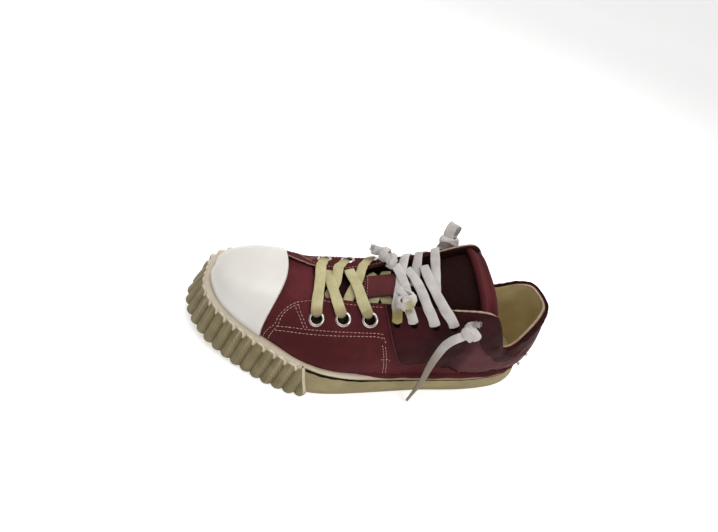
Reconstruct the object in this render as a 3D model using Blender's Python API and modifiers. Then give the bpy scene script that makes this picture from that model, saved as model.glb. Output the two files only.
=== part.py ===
"""A low-top sneaker for the left foot: +X to the toe, +Y to the outer side, +Z up.

Every form grows from two closed lines, the sole's outline and the upper's top edge,
and from the height tables between them. Sizes are in millimetres and go to metres
when a mesh is made.
"""
import bmesh
import bpy
import numpy as np
from mathutils import Matrix, Vector

MM = 0.001
CENTRE = (152.8, 0.4)  # the middle of the shoe, in the working frame whose x starts at the heel
GAP = 0.3  # between neighbouring pieces

WALL = 2.0  # upper
OVERLAY = 1.5  # leather laid over the upper's rear half
CAP_SKIN = 1.2  # rubber toe cap
INSOLE = 4.0
RIB_PITCH = 9.4
RIB_HEIGHT = 1.8
RIB_SLANT = 7.0  # how far a rib's top lies behind its foot
BUMPER_SKIN = 2.4
BUMPER_START_X = 200.0
GROOVE_DEPTH = 2.0
GROOVE_WIDTH = 4.5
GROOVE_PITCH = 12
EYELET_OUTER = 6.4
EYELET_INNER = 3.9
EYELET_THICK = 1.2
METAL_HOLE = 4.3
PUNCHED_HOLE = 2.6
LACE_WIDTH = 8.0
LACE_THICK = 1.5
CORD_RADIUS = 2.2  # plain tubes that stand for knots and loose lace ends
KEEPER_THICK = 1.4
KEEPER_Y = (-9.5, 10.5)
KEEPER = ((167.5, 0), (166, 0.2), (164.6, 2.7), (162, 3.2), (155, 3.4), (148, 3.2), (143.4, 2.8),
          (142, 0.2), (140.5, 0))  # x along the shoe, lift off the tongue

# The sole's bottom edge, from the back of the heel along the outer side to the toe and home.
OUTLINE = (
    # x, y
    (0.4, 0.0), (3.5, 15.0), (12.0, 25.5), (29.0, 34.0), (61.6, 41.5), (94.4, 45.8), (119.2, 49.8),
    (149.4, 55.2), (179.8, 59.6), (205.0, 58.8), (228.5, 52.3), (252.0, 42.0), (274.2, 29.4),
    (291.2, 13.9), (299.7, -1.3), (300.3, -15.3), (295.0, -28.4), (283.7, -39.8), (265.0, -49.1),
    (239.8, -54.1), (214.6, -55.4), (189.2, -52.8), (159.4, -44.9), (124.8, -37.2), (95.0, -34.8),
    (62.0, -35.2), (30.0, -32.3), (13.5, -25.4), (3.9, -14.3),
)

# Heights and insets along the shoe, each as (x ...), (value ...).
SOLE_BOTTOM = (-5, 0, 8, 20, 34, 212, 240, 265, 285, 305), (7.5, 6.5, 3.6, 1, 0, 0, 0.8, 3.6, 7, 11.5)
BAND_TOP = (-5, 0, 20, 60, 100, 125, 150, 175, 200, 235, 260, 290, 310), (
    19.4, 19, 17.4, 16.4, 16.8, 19.4, 23, 27, 31.5, 37, 40.4, 45.4, 47.4)
BAND_HEIGHT = (0, 100, 150, 175, 200, 310), (4.4, 4.8, 6.0, 5.2, 3.9, 4.2)
BAND_INSET = (0, 150, 185, 205, 230, 310), (4.6, 4.6, 6.0, 7.6, 9.6, 10.8)
FOOT_INSET = (0, 150, 185, 205, 235, 256, 275, 290, 310), (7.4, 7.4, 8.8, 10.6, 13.0, 13.4, 14.4, 16.4, 17.8)
TIP = (14.6, 1.5, 5.6)  # u at the toe's blunt end, its reach, and how much further in everything above the sole sits

# The upper's top edge and how each section leaves the band and meets that edge.
STATIONS = (
    # x, y outer, y inner, z outer, z inner, foot x, foot lean, foot rise, top out, top drop
    (211.5, 3.0, -6.0, 66.5, 66.5, 290.0, 1.0, 17, 40, 2),
    (210.0, 7.0, -9.5, 66.2, 66.2, 273.0, 1.0, 16, 33, 3),
    (206.5, 10.5, -12.0, 65.6, 65.4, 250.0, 1.0, 16, 26, 5),
    (200.0, 12.6, -13.8, 65.0, 65.0, 226.0, 1.0, 17, 20, 6),
    (190.0, 13.5, -14.5, 65.5, 65.4, 206.0, 1.0, 20, 20, 5.5),
    (178.0, 14.4, -15.1, 67.5, 67.4, 186.0, 1.0, 22, 23, 4),
    (165.0, 16.2, -16.7, 71.5, 71.4, 167.0, 1.0, 24, 25, 2),
    (152.0, 18.7, -19.0, 77.3, 77.2, 151.0, 1.0, 26, 22, 4),
    (138.0, 21.7, -21.9, 83.4, 83.3, 136.0, 1.0, 28, 18, 6.5),
    (123.0, 25.0, -25.0, 89.8, 89.8, 120.0, 1.0, 30, 14, 9.5),
    (108.5, 28.0, -28.1, 96.2, 96.4, 106.0, 1.0, 30, 10, 14.5),
    (96.0, 30.2, -30.4, 102.2, 102.4, 94.4, 1.0, 30, 5.5, 22),
    (86.0, 32.0, -31.8, 104.8, 104.8, 82.0, 1.0, 28, 2, 26),
    (78.0, 32.8, -32.7, 100.5, 100.5, 72.0, 1.5, 26, 2, 24),
    (70.5, 33.0, -32.8, 90.5, 90.5, 63.5, 2.0, 22, 3, 20),
    (63.0, 32.6, -32.0, 78.5, 78.5, 57.0, 2.5, 18, 4, 15),
    (56.0, 31.5, -31.2, 67.6, 67.8, 51.0, 3.0, 15, 5, 12),
    (49.0, 30.2, -30.2, 62.8, 63.4, 44.0, 3.0, 14, 5, 12),
    (41.5, 27.0, -29.2, 66.0, 66.8, 36.0, 3.0, 15, 6, 14),
    (34.0, 20.6, -27.4, 73.4, 75.5, 27.0, 3.0, 17, 7, 18),
    (26.0, 12.6, -24.4, 78.4, 82.0, 19.0, 3.8, 20, 9, 21),
    (18.5, 4.0, -19.4, 80.2, 82.8, 11.0, 4.2, 22, 9, 24),
)
INNER_TOE = (0, 186, 226, 262, 290, 310), (0, 0, 1, 1, 0.75, 0.5)  # foot x, how far the inner side flattens
TOE_STATION = (212.0, -1.5, 66.5, 1.0, 15.4, 40.5, 2.4)  # x, y, z, lean, rise, out, drop
HEEL_STATION = (13.2, -6.8, 80.6, 4.4, 22, 9, 24)

# The lace holes, front to back: how far along the shoe, and how far down from the top edge.
METAL_HOLES = ((198.0, 17.3), (179.4, 14.3), (160.6, 12.6))
PUNCHED_HOLES = ((142.9, 13.6), (131.1, 12.6), (116.6, 12.8), (103.6, 14.0), (91.2, 14.4))
HOLES = METAL_HOLES + PUNCHED_HOLES

# The lace, strand by strand. Each end is (side, hole, x where it crosses the top edge) or
# nothing where the strand tucks under the opposite edge; between them are free points.
STRANDS = {
    "lace_bar": (
        (("outer", 0, 199.6), ((200.0, 0.0, 68.2),), ("inner", 0, 200.6)),
    ),
    "lace_cross_front": (
        (("outer", 1, 186.0), ((188.3, 8.6, 66.2), (191.4, -1.2, 64.4), (193.6, -9.6, 62.8)), None),
        (("inner", 1, 186.6), ((187.5, -3.8, 65.6), (190.3, 6.6, 64.3), (191.4, 10.0, 63.5)), None),
    ),
    "lace_cross_mid": (
        (("outer", 2, 167.0), ((170.8, 7.0, 72.0), (174.6, -3.1, 70.0), (177.0, -10.0, 68.0)), None),
        (("inner", 2, 167.6), ((171.5, -3.8, 71.0), (175.2, 7.0, 69.2), (176.6, 10.5, 68.4)), None),
    ),
    "lace_rear": (
        (("outer", 4, 137.0), ((138.9, 7.0, 84.8), (142.0, -5.0, 84.2), (146.0, -13.5, 83.8)), None),
        (("outer", 3, 144.0), ((142.5, 5.0, 84.4), (140.3, -11.0, 85.0)), ("inner", 4, 136.5)),
        (("outer", 5, 124.2), ((127.9, 9.0, 88.2), (132.2, -4.0, 86.8), (136.4, -12.0, 86.2)), None),
        (("inner", 5, 126.4), ((129.6, -8.0, 86.6), (131.6, 3.0, 86.2)), None),
        (("outer", 6, 113.6), ((118.5, 16.0, 93.3), (122.2, 0.0, 91.0), (124.4, -13.5, 89.4)), None),
        (("inner", 6, 114.4), ((116.1, -5.0, 92.6), (117.6, 11.0, 91.8)), None),
    ),
    "lace_under_keeper": (
        (None, ((158.8, 13.0, 1.9), (156.7, 6.5, 1.9), (154.6, 0.0, 1.8), (152.3, -6.5, 1.9),
                (150.0, -13.0, 1.9)), None),
        (None, ((149.4, 13.0, 1.9), (152.2, 6.5, 1.9), (155.0, 0.0, 1.8), (157.7, -6.5, 1.9),
                (160.4, -13.0, 1.9)), None),
    ),
}

# Knots and loose ends, each as the points that its middle follows.
LOOSE_ENDS = {
    "lace_end_outer": ((93.6, 37.6, 90.6), (94.8, 39.8, 87.0), (98.4, 41.6, 80.0), (102.0, 43.2, 70.5),
                       (104.8, 45.6, 56.0), (106.4, 48.6, 40.0), (107.4, 51.4, 26.0),
                       (108.6, 54.0, 13.0), (111.4, 57.6, 2.6)),
    "lace_end_inner": ((95.0, -37.2, 90.0), (98.0, -37.2, 94.4), (101.0, -38.0, 98.8),
                       (101.6, -42.0, 101.2), (100.6, -47.6, 101.4), (98.8, -54.0, 99.0),
                       (97.0, -59.4, 93.5), (95.8, -62.4, 84.0), (95.2, -63.4, 72.0),
                       (95.6, -63.2, 60.0)),
    "lace_knot_front": ((146.2, -13.4, 87.2), (149.6, -13.6, 88.4), (153.4, -16.0, 88.2),
                        (154.6, -20.4, 86.6), (152.6, -24.0, 84.6), (156.0, -26.6, 84.0),
                        (160.4, -28.6, 83.6), (164.0, -30.6, 82.6)),
    "lace_knot_outer": ((141.0, 14.5, 91.2), (137.6, 17.5, 93.4), (136.2, 22.0, 94.2),
                        (138.0, 26.8, 93.4), (142.2, 28.8, 91.2), (146.0, 27.0, 89.8),
                        (147.0, 22.8, 90.0), (144.6, 19.4, 91.0)),
}

# The toe cap's rear edge, and the front and bottom edges of the rear overlay.
CAP_EDGE_X, CAP_EDGE_CURVE = 224.5, 0.0078
OVERLAY_FRONT = (0.10, 0.30, 0.55, 0.80, 1.0), (128.0, 139.0, 143.0, 147.0, 150.5)  # v, x

UPPER_SECTIONS = 112
UPPER_ROWS = (0, 0.13, 0.3, 0.46, 0.62, 0.78, 0.91, 1.0)  # v of the mesh's rows

# The tongue along its length.
TONGUE = (
    # x, z middle, half width, side drop, thickness
    (216, 60.0, 19.0, 9.0, 2.6), (205, 60.5, 20.5, 9.0, 3.0), (190, 61.5, 21.0, 9.0, 3.5),
    (178, 63.6, 21.0, 8.5, 4.0), (165, 67.6, 21.0, 7.5, 4.5), (152, 73.4, 21.0, 7.0, 5.0),
    (138, 80.0, 21.6, 6.0, 6.0), (122, 87.8, 22.6, 5.0, 7.0), (108, 95.0, 25.2, 4.0, 8.0),
    (96, 101.0, 27.2, 3.2, 9.0), (86, 105.0, 28.6, 2.4, 10.0), (80, 105.6, 28.6, 2.0, 9.0),
    (76, 102.6, 27.6, 2.0, 6.0),
)


# ---------------------------------------------------------------- lines and tables
def closed_spline(rows, u):
    """Smooth closed curve through the rows, at u = 0, 1, 2 ... around."""
    p = np.asarray(rows, float)
    n = len(p)
    system = 4 * np.eye(n) + np.roll(np.eye(n), 1, 1) + np.roll(np.eye(n), -1, 1)
    bend = np.linalg.solve(system, 6 * (np.roll(p, -1, 0) - 2 * p + np.roll(p, 1, 0)))
    u = np.asarray(u, float) % n
    i = np.floor(u).astype(int) % n
    j = (i + 1) % n
    t = (u - np.floor(u))[..., None]
    straight = (1 - t) * p[i] + t * p[j]
    return straight + ((1 - t) ** 3 - (1 - t)) * bend[i] / 6 + (t ** 3 - t) * bend[j] / 6


def table(x, columns):
    """Smooth lookup that never overshoots its rows."""
    xs, ys = (np.asarray(c, float) for c in columns)
    x = np.clip(np.asarray(x, float), xs[0], xs[-1])
    slope = np.diff(ys) / np.diff(xs)
    m = np.zeros(len(xs))
    both = slope[:-1] * slope[1:] > 0
    m[1:-1][both] = (2 * slope[:-1] * slope[1:] / (slope[:-1] + slope[1:] + 1e-12))[both]
    m[0], m[-1] = slope[0], slope[-1]
    k = np.clip(np.searchsorted(xs, x, side="right") - 1, 0, len(xs) - 2)
    h = xs[k + 1] - xs[k]
    t = (x - xs[k]) / h
    return ((2 * t ** 3 - 3 * t ** 2 + 1) * ys[k] + (t ** 3 - 2 * t ** 2 + t) * h * m[k]
            + (3 * t ** 2 - 2 * t ** 3) * ys[k + 1] + (t ** 3 - t ** 2) * h * m[k + 1])


def outline(u, inset=0.0):
    """Points on the sole's outline moved inward by inset, and the outward normals."""
    u = np.asarray(u, float)
    p = closed_spline(OUTLINE, u)
    d = closed_spline(OUTLINE, u + 1e-3) - closed_spline(OUTLINE, u - 1e-3)
    d /= np.linalg.norm(d, axis=-1, keepdims=True)
    out = np.stack([-d[..., 1], d[..., 0]], -1)
    return p - np.asarray(inset, float)[..., None] * out, out


def inset_at(u, x, columns):
    """Inset from a table, with the toe's blunt end added."""
    n = len(OUTLINE)
    away = (u - TIP[0] + n / 2) % n - n / 2
    return table(x, columns) + TIP[2] * np.exp(-(away / TIP[1]) ** 2)


def outline_span():
    """u at the toe's tip, and u at the heel's back just below it."""
    u = np.linspace(0, len(OUTLINE), 5801)[:-1]
    x = closed_spline(OUTLINE, u)[:, 0]
    toe, heel = u[np.argmax(x)], u[np.argmin(x)]
    return toe, heel - len(OUTLINE) if heel > toe else heel


U_TOE, U_HEEL = outline_span()


def u_at_x(x, outer):
    """u where the outline crosses x, on its outer or its inner side."""
    u = np.linspace(U_HEEL, U_TOE, 1500) if outer else np.linspace(U_HEEL + len(OUTLINE), U_TOE, 1500)
    return np.interp(x, closed_spline(OUTLINE, u)[:, 0], u)


def stations():
    """One row per section, from the toe round the outer side: u, top edge x y z, four handles."""
    n = len(OUTLINE)
    rows = [(U_TOE, *TOE_STATION)]
    for x, yo, _, zo, _, foot, *handles in STATIONS:
        rows.append((u_at_x(foot, True), x, yo, zo, *handles))
    rows.append((U_HEEL, *HEEL_STATION))
    for x, _, yi, _, zi, foot, lean, rise, out, drop in reversed(STATIONS):
        flat = float(table(foot, INNER_TOE))
        rows.append((u_at_x(foot, False) - n, x, yi, zi, lean, rise * (1 - 0.4 * flat), out * (1 - 0.15 * flat),
                     drop + flat))
    rows = np.array(rows)
    rows[:, 0] += n * np.arange(len(rows)) / len(rows)  # takes the turn out, so the spline can close
    return rows


SECTIONS = stations()
TURN = len(SECTIONS)
HEEL_S = len(STATIONS) + 1  # the section at the back of the heel


# ---------------------------------------------------------------- the shoe's surfaces
def upper_base(s, v):
    q = closed_spline(SECTIONS, s)
    u = q[..., 0] - len(OUTLINE) * s / TURN
    x = outline(u)[0][..., 0]
    foot, out = outline(u, inset_at(u, x, FOOT_INSET))
    foot = np.concatenate([foot, table(x, BAND_TOP)[..., None]], -1)
    out = np.concatenate([out, 0 * out[..., :1]], -1)
    up = np.array([0, 0, 1.0])
    top = q[..., 1:4]
    low = foot + out * q[..., 4:5] + up * q[..., 5:6]
    high = top + out * q[..., 6:7] - up * q[..., 7:8]
    t = v[..., None]
    return (1 - t) ** 3 * foot + 3 * (1 - t) ** 2 * t * low + 3 * (1 - t) * t * t * high + t ** 3 * top


def upper(s, v, off=0.0):
    """The upper's outer face at section s and at v, 0 on the band to 1 at the top edge, moved out by off."""
    s, v = np.broadcast_arrays(np.asarray(s, float), np.asarray(v, float))
    p = upper_base(s, v)
    e = 1e-3
    along = upper_base(s + e, v) - upper_base(s - e, v)
    rise = upper_base(s, v + e) - upper_base(s, v - e)
    n = np.cross(along, rise)
    n /= np.linalg.norm(n, axis=-1, keepdims=True)
    return p + n * np.asarray(off, float)[..., None]


def sole_side(u, h, off=0.0):
    """The sole's side at outline u and height share h, moved out by off."""
    u, h = np.broadcast_arrays(np.asarray(u, float), np.asarray(h, float))
    x = outline(u)[0][..., 0]
    low = table(x, SOLE_BOTTOM)
    high = table(x, BAND_TOP) - table(x, BAND_HEIGHT) - GAP
    p, _ = outline(u, inset_at(u, x, BAND_INSET) * h - off)
    return np.concatenate([p, (low + (high - low) * h)[..., None]], -1)


def find_on_upper(x, drop, outer):
    """Section and v of the point at x that lies drop below the top edge, measured along the upper."""
    v = np.linspace(0, 1, 201)
    s = np.linspace(1, HEEL_S - 1, 500) if outer else np.linspace(HEEL_S + 1, TURN - 1, 500)
    grid = upper_base(*np.meshgrid(s, v, indexing="ij"))
    run = np.linalg.norm(np.diff(grid, axis=1), axis=-1)[:, ::-1].cumsum(axis=1)
    at = 200 - np.array([np.searchsorted(r, drop) + 1 for r in run])
    best = np.argmin(np.abs(grid[np.arange(len(s)), at, 0] - x))
    return s[best], v[at[best]]


def edge_section(x, outer):
    """Section whose top edge lies at x."""
    s = np.linspace(1, HEEL_S - 1, 800) if outer else np.linspace(TURN - 1, HEEL_S + 1, 800)
    return float(np.interp(-x, -closed_spline(SECTIONS, s)[:, 1], s))


def even_sections(count):
    """Sections spaced evenly along the shoe's foot and top edges together."""
    s = np.linspace(0, TURN, 2001)
    run = sum(np.linalg.norm(np.diff(upper_base(s, v + 0 * s), axis=0), axis=1) for v in (0.0, 0.4, 1.0))
    run = np.concatenate([[0], (run + 0.3).cumsum()])
    return np.interp(np.linspace(0, run[-1], count + 1)[:-1], run, s)


def tongue_top(x, y):
    rows = np.array(TONGUE, float)
    z, half, drop = (table(-np.asarray(x, float), (-rows[:, 0], rows[:, k])) for k in (1, 2, 3))
    return z - drop * ((np.asarray(y, float) + 0.8) / half) ** 2


# ---------------------------------------------------------------- meshes
def new_collection(name, helper=False):
    made = bpy.data.collections.new(name)
    bpy.context.scene.collection.children.link(made)
    made.hide_render = helper
    return made


def material(name, colour, roughness, metallic=0.0):
    made = bpy.data.materials.new(name)
    made.use_nodes = True
    shader = made.node_tree.nodes["Principled BSDF"]
    shader.inputs["Base Color"].default_value = (*colour, 1)
    shader.inputs["Roughness"].default_value = roughness
    shader.inputs["Metallic"].default_value = metallic
    made.diffuse_color = (*colour, 1)
    return made


def place(point):
    """A point of the working frame in metres, in the shoe's own frame."""
    return Vector((np.asarray(point, float) - (*CENTRE, 0)) * MM)


def add_object(name, bm, collection, finish=None):
    mesh = bpy.data.meshes.new(name)
    bm.to_mesh(mesh)
    bm.free()
    made = bpy.data.objects.new(name, mesh)
    collection.objects.link(made)
    if finish:
        mesh.materials.append(finish)
    else:
        made.display_type = "WIRE"
        made.hide_render = True
    return made


def add_mesh(name, points, faces, collection, finish=None, closed=True):
    """Object from points in millimetres; a closed one is turned to face outward."""
    bm = bmesh.new()
    for point in points:
        bm.verts.new(place(point))
    bm.verts.ensure_lookup_table()
    for face in faces:
        bm.faces.new([bm.verts[k] for k in face])
    bmesh.ops.recalc_face_normals(bm, faces=bm.faces)
    if closed and bm.calc_volume(signed=True) < 0:
        bmesh.ops.reverse_faces(bm, faces=bm.faces)
    bmesh.ops.triangulate(bm, faces=bm.faces)
    return add_object(name, bm, collection, finish)


def add_tube(name, sections, collection, finish=None, closed=False):
    """Solid through sections, an array of rings x points x 3."""
    sections = np.asarray(sections)
    rings, around = sections.shape[:2]
    faces = []
    for i in range(rings if closed else rings - 1):
        a, b = i * around, (i + 1) % rings * around
        faces += [(a + j, a + (j + 1) % around, b + (j + 1) % around, b + j) for j in range(around)]
    if not closed:
        faces += [tuple(range(around)), tuple(range((rings - 1) * around, rings * around))]
    return add_mesh(name, sections.reshape(-1, 3), faces, collection, finish)


def add_skin(name, grid, thickness, collection, finish, closed=False):
    """Sheet through a grid of outer points, thickened inward."""
    rows, columns = grid.shape[:2]
    points = [place(p) for p in grid.reshape(-1, 3)]
    faces = [(i * columns + j, (i + 1) % rows * columns + j,
              (i + 1) % rows * columns + j + 1, i * columns + j + 1)
             for i in range(rows if closed else rows - 1) for j in range(columns - 1)]
    mesh = bpy.data.meshes.new(name)
    mesh.from_pydata(points, [], faces)
    mesh.materials.append(finish)
    made = bpy.data.objects.new(name, mesh)
    collection.objects.link(made)
    solid = made.modifiers.new("Thickness", "SOLIDIFY")
    solid.thickness = thickness * MM
    solid.offset = -1
    return made


def boolean(target, cutter, operation="DIFFERENCE"):
    change = target.modifiers.new(cutter.name, "BOOLEAN")
    change.object = cutter
    change.operation = operation
    change.solver = "EXACT"


def capped_stack(name, rings, collection, finish):
    """Solid from stacked closed rings whose halves mirror in x; top and bottom are strips across."""
    rings = np.asarray(rings)
    count, around = rings.shape[:2]
    faces = []
    for i in range(count - 1):
        a, b = i * around, (i + 1) * around
        faces += [(a + j, a + (j + 1) % around, b + (j + 1) % around, b + j) for j in range(around)]
    for start in (0, (count - 1) * around):
        for j in range(around // 2):
            k, m = (around - j) % around, around - j - 1
            faces.append(tuple(dict.fromkeys((start + j, start + j + 1, start + m, start + k))))
    return add_mesh(name, rings.reshape(-1, 3), faces, collection, finish)


def paired_outline(half):
    """u around the outline so that point j and point -j share one x."""
    turn = np.linspace(0, np.pi, half + 1)
    x = np.interp(-np.cos(turn), (-1, 1), (outline(U_HEEL)[0][0], outline(U_TOE)[0][0]))
    return np.array([u_at_x(a, True) for a in x] + [u_at_x(a, False) for a in x[1:-1]][::-1])


# ---------------------------------------------------------------- the pieces
def build_sole(parts, cutters, rubber):
    u = paired_outline(52)
    x = outline(u)[0][:, 0]
    flat, _ = outline(u, 2.0 + 0 * u)
    rings = [np.column_stack([flat, table(x, SOLE_BOTTOM)])]
    rings += [sole_side(u, h) for h in (0.08, 0.45, 1.0)]
    sole = capped_stack("outsole", rings, parts, rubber)
    grooves = bmesh.new()
    for start, end in ((14, 74), (126, 250)):
        for x in range(start, end, GROOVE_PITCH):
            size = Matrix.Diagonal((GROOVE_WIDTH * MM, 0.16, 2 * GROOVE_DEPTH * MM, 1))
            bmesh.ops.create_cube(grooves, matrix=Matrix.Translation(place((x, 0, 0))) @ size)
    boolean(sole, add_object("tread grooves", grooves, cutters))


def toe_wall(u, h, off):
    """The toe's side at height share h, from the sole's bottom to just under the band's top, moved out by off."""
    x = outline(u)[0][..., 0]
    low, top = table(x, SOLE_BOTTOM), table(x, BAND_TOP) - 0.6
    shoulder = (top + 0.3 - table(x, BAND_HEIGHT) - low) / (top - low)
    p, _ = outline(u, inset_at(u, x, BAND_INSET) * np.minimum(h / shoulder, 1) - off)
    return np.concatenate([p, (low + (top - low) * h)[..., None]], -1)


def build_bumper(parts, rubber):
    """Ribbed toe wrap, from the ball of the foot round the toe, over the sole's side and the band's."""
    start, end = u_at_x(BUMPER_START_X, True), u_at_x(BUMPER_START_X, False)
    dense = np.linspace(start, end, 1200)
    edge = outline(dense)[0]
    run = np.concatenate([[0], np.linalg.norm(np.diff(edge, axis=0), axis=1).cumsum()])
    ribs = int(round(run[-1] / RIB_PITCH))
    steps = ribs * 4 + 1
    turn = np.linspace(0, 1, steps)
    wave = np.abs(np.sin(np.pi * ribs * turn)) ** 0.7
    slant = RIB_SLANT * np.clip(np.minimum(turn, 1 - turn) * ribs / 1.5, 0, 1)
    height = np.array([0.03, 0.10, 0.50, 0.85, 1.0])
    swell = np.array([0.6, 1.0, 1.0, 0.9, 0.55])
    sections = []
    for share, w, lean in zip(turn, wave, slant):
        reach = height * (0.9 + 0.1 * w)
        at = np.interp(share * run[-1] - lean * height, run, dense)
        outer = toe_wall(at, reach, (BUMPER_SKIN + RIB_HEIGHT * w) * swell)
        inner = toe_wall(at[[0, 2, 3, 4]], reach[[0, 2, 3, 4]], GAP)
        sections.append(np.concatenate([outer, inner[::-1]]))
    add_tube("toe_bumper", sections, parts, rubber)


def build_band(parts, rubber):
    u = np.linspace(0, len(OUTLINE), 117)[:-1]
    x = outline(u)[0][:, 0]
    top = table(x, BAND_TOP)
    low = top - table(x, BAND_HEIGHT)
    inner, _ = outline(u, inset_at(u, x, FOOT_INSET) - 2 * GAP)
    outer, _ = outline(u, inset_at(u, x, BAND_INSET))
    lip, _ = outline(u, inset_at(u, x, BAND_INSET) + 0.7)
    rings = [np.column_stack(pair) for pair in ((outer, low), (lip, top), (inner, top), (inner, low))]
    add_tube("foxing_band", np.stack(rings, 1), parts, rubber, closed=True)


def hole_frame(side, hole):
    """Where a hole's middle is on the upper, and the direction straight out of it."""
    s, v = find_on_upper(*HOLES[hole], side == "outer")
    point = upper(s, v)
    return point, Vector(upper(s, v, 1.0) - point).normalized()


def build_upper(parts, cloth):
    """Canvas from the sole's top to the throat and collar, open below and at the mouth."""
    body = upper(*np.meshgrid(even_sections(UPPER_SECTIONS), UPPER_ROWS, indexing="ij"))
    skirt = body[:, :1].copy()
    skirt[:, 0, 2] -= table(skirt[:, 0, 0], BAND_HEIGHT) - 0.5 * GAP
    return add_skin("upper", np.concatenate([skirt, body], 1), WALL, parts, cloth, closed=True)


def cap_reach(s):
    """v where section s meets the toe cap's rear edge."""
    v = np.linspace(0, 1, 400)
    line = upper_base(s + 0 * v, v)
    behind = np.nonzero(line[:, 0] < CAP_EDGE_X + CAP_EDGE_CURVE * (line[:, 1] + 1.0) ** 2)[0]
    return v[behind[0]] if len(behind) else 1.0


def build_cap(parts, rubber):
    wide = np.linspace(-6, 6, 241)
    inside = wide[np.array([cap_reach(s) for s in wide]) > 0.10]
    s = np.linspace(inside[0], inside[-1], 41)
    top = np.array([cap_reach(a) for a in s])[:, None]
    low = 0.035
    v = low + (top - low) * np.array([0, 0.08, 0.2, 0.36, 0.54, 0.76, 1.0])
    add_skin("toe_cap", upper(s[:, None] + 0 * v, v, 2.8 * GAP + CAP_SKIN), CAP_SKIN, parts, rubber)


def front_section(v, outer):
    """Section where the overlay's front edge lies at v."""
    s = np.linspace(2, HEEL_S - 3, 500) if outer else np.linspace(TURN - 2, HEEL_S + 3, 500)
    x = upper_base(s, v + 0 * s)[:, 0]
    return float(np.interp(-float(table(v, OVERLAY_FRONT)), -x, s))


def build_overlay(parts, leather):
    """Leather from one front edge round the heel to the other, its grid in step with the upper's."""
    v = np.array(UPPER_ROWS[1:-1] + (0.985,))
    first = np.array([front_section(a, True) for a in v])
    last = np.array([front_section(a, False) for a in v])
    s = even_sections(UPPER_SECTIONS)
    s = s[(s > first.mean()) & (s < last.mean())]
    fade = np.clip(1 - (s - s[0]) / 5, 0, 1)[:, None]
    s = s[:, None] + (first - s[0]) * fade + (last - s[-1]) * fade[::-1]
    grid = upper(s, v + 0 * s, 2 * GAP + OVERLAY)
    return add_skin("rear_overlay", grid, OVERLAY, parts, leather)


def punch(target, holes, radius, cutters):
    """Cut holes of one radius on both sides, straight through the upper's wall."""
    pins = bmesh.new()
    for side in ("outer", "inner"):
        for hole in holes:
            point, out = hole_frame(side, hole)
            turn = Vector((0, 0, 1)).rotation_difference(out).to_matrix().to_4x4()
            bmesh.ops.create_cone(pins, cap_ends=True, segments=14, radius1=radius * MM,
                                  radius2=radius * MM, depth=0.012,
                                  matrix=Matrix.Translation(place(point)) @ turn)
    boolean(target, add_object(f"{target.name} holes {radius}", pins, cutters))


def build_eyelets(parts, metal):
    """Turned metal rings that lie on the canvas round the front holes."""
    inner, outer, thick = EYELET_INNER, EYELET_OUTER, EYELET_THICK
    profile = ((inner, 0), (outer, 0), (outer, 0.4 * thick), (0.5 * (inner + outer) + 0.3, thick),
               (inner + 0.3, 0.8 * thick))
    for side in ("outer", "inner"):
        for hole in range(len(METAL_HOLES)):
            point, out = hole_frame(side, hole)
            name = f"eyelet_{side}_{hole + 1}"
            mesh = bpy.data.meshes.new(name)
            ring = [(r * MM, 0, z * MM) for r, z in profile]
            mesh.from_pydata(ring, [(k, (k + 1) % len(ring)) for k in range(len(ring))], [])
            mesh.materials.append(metal)
            made = bpy.data.objects.new(name, mesh)
            parts.objects.link(made)
            turn = made.modifiers.new("Turn", "SCREW")
            turn.steps = turn.render_steps = 18
            turn.use_normal_flip = True
            turn.use_merge_vertices = True
            turn.merge_threshold = 0.00001
            made.location = place(point + np.array(out) * 1.6 * GAP)
            made.rotation_euler = Vector((0, 0, 1)).rotation_difference(out).to_euler()


def build_insole(parts, cloth):
    u = paired_outline(36)
    x = outline(u)[0][:, 0]
    low = table(x, BAND_TOP) - table(x, BAND_HEIGHT) + 0.5 * GAP
    inset = inset_at(u, x, FOOT_INSET) + WALL + 0.9
    wide, _ = outline(u, inset)
    crown, _ = outline(u, inset + 0.8)
    capped_stack("insole", [np.column_stack([wide, low]), np.column_stack([wide, low + INSOLE * 0.75]),
                            np.column_stack([crown, low + INSOLE])], parts, cloth)


def build_tongue(parts, pile):
    rows = np.array(TONGUE, float)
    xs = np.concatenate([np.linspace(216, 90, 19), [86, 82, 79, 76.5]])
    columns = [table(-xs, (-rows[:, 0], rows[:, k])) for k in range(1, 5)]
    a = np.linspace(0, 2 * np.pi, 16, endpoint=False)
    sections = []
    for x, z, half, drop, thick in zip(xs, *columns):
        y = half * np.sign(np.cos(a)) * np.abs(np.cos(a)) ** 0.8
        body = 0.5 * thick * (np.sign(np.sin(a)) * np.abs(np.sin(a)) ** 0.7 - 1)
        sections.append(np.column_stack([x + 0 * a, y - 0.8, z + body - drop * (y / half) ** 2]))
    add_tube("tongue", sections, parts, pile)


def build_keeper(parts, leather):
    """Leather strap across the tongue's middle that the lace runs under."""
    y = np.linspace(*KEEPER_Y, 7)
    sections = []
    for x, lift in KEEPER:
        low = tongue_top(x, y) + GAP + lift
        under = np.column_stack([x + 0 * y, y, low])
        sections.append(np.concatenate([under, (under + (0, 0, KEEPER_THICK))[::-1]]))
    add_tube("lace_keeper", sections, parts, leather)


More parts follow.
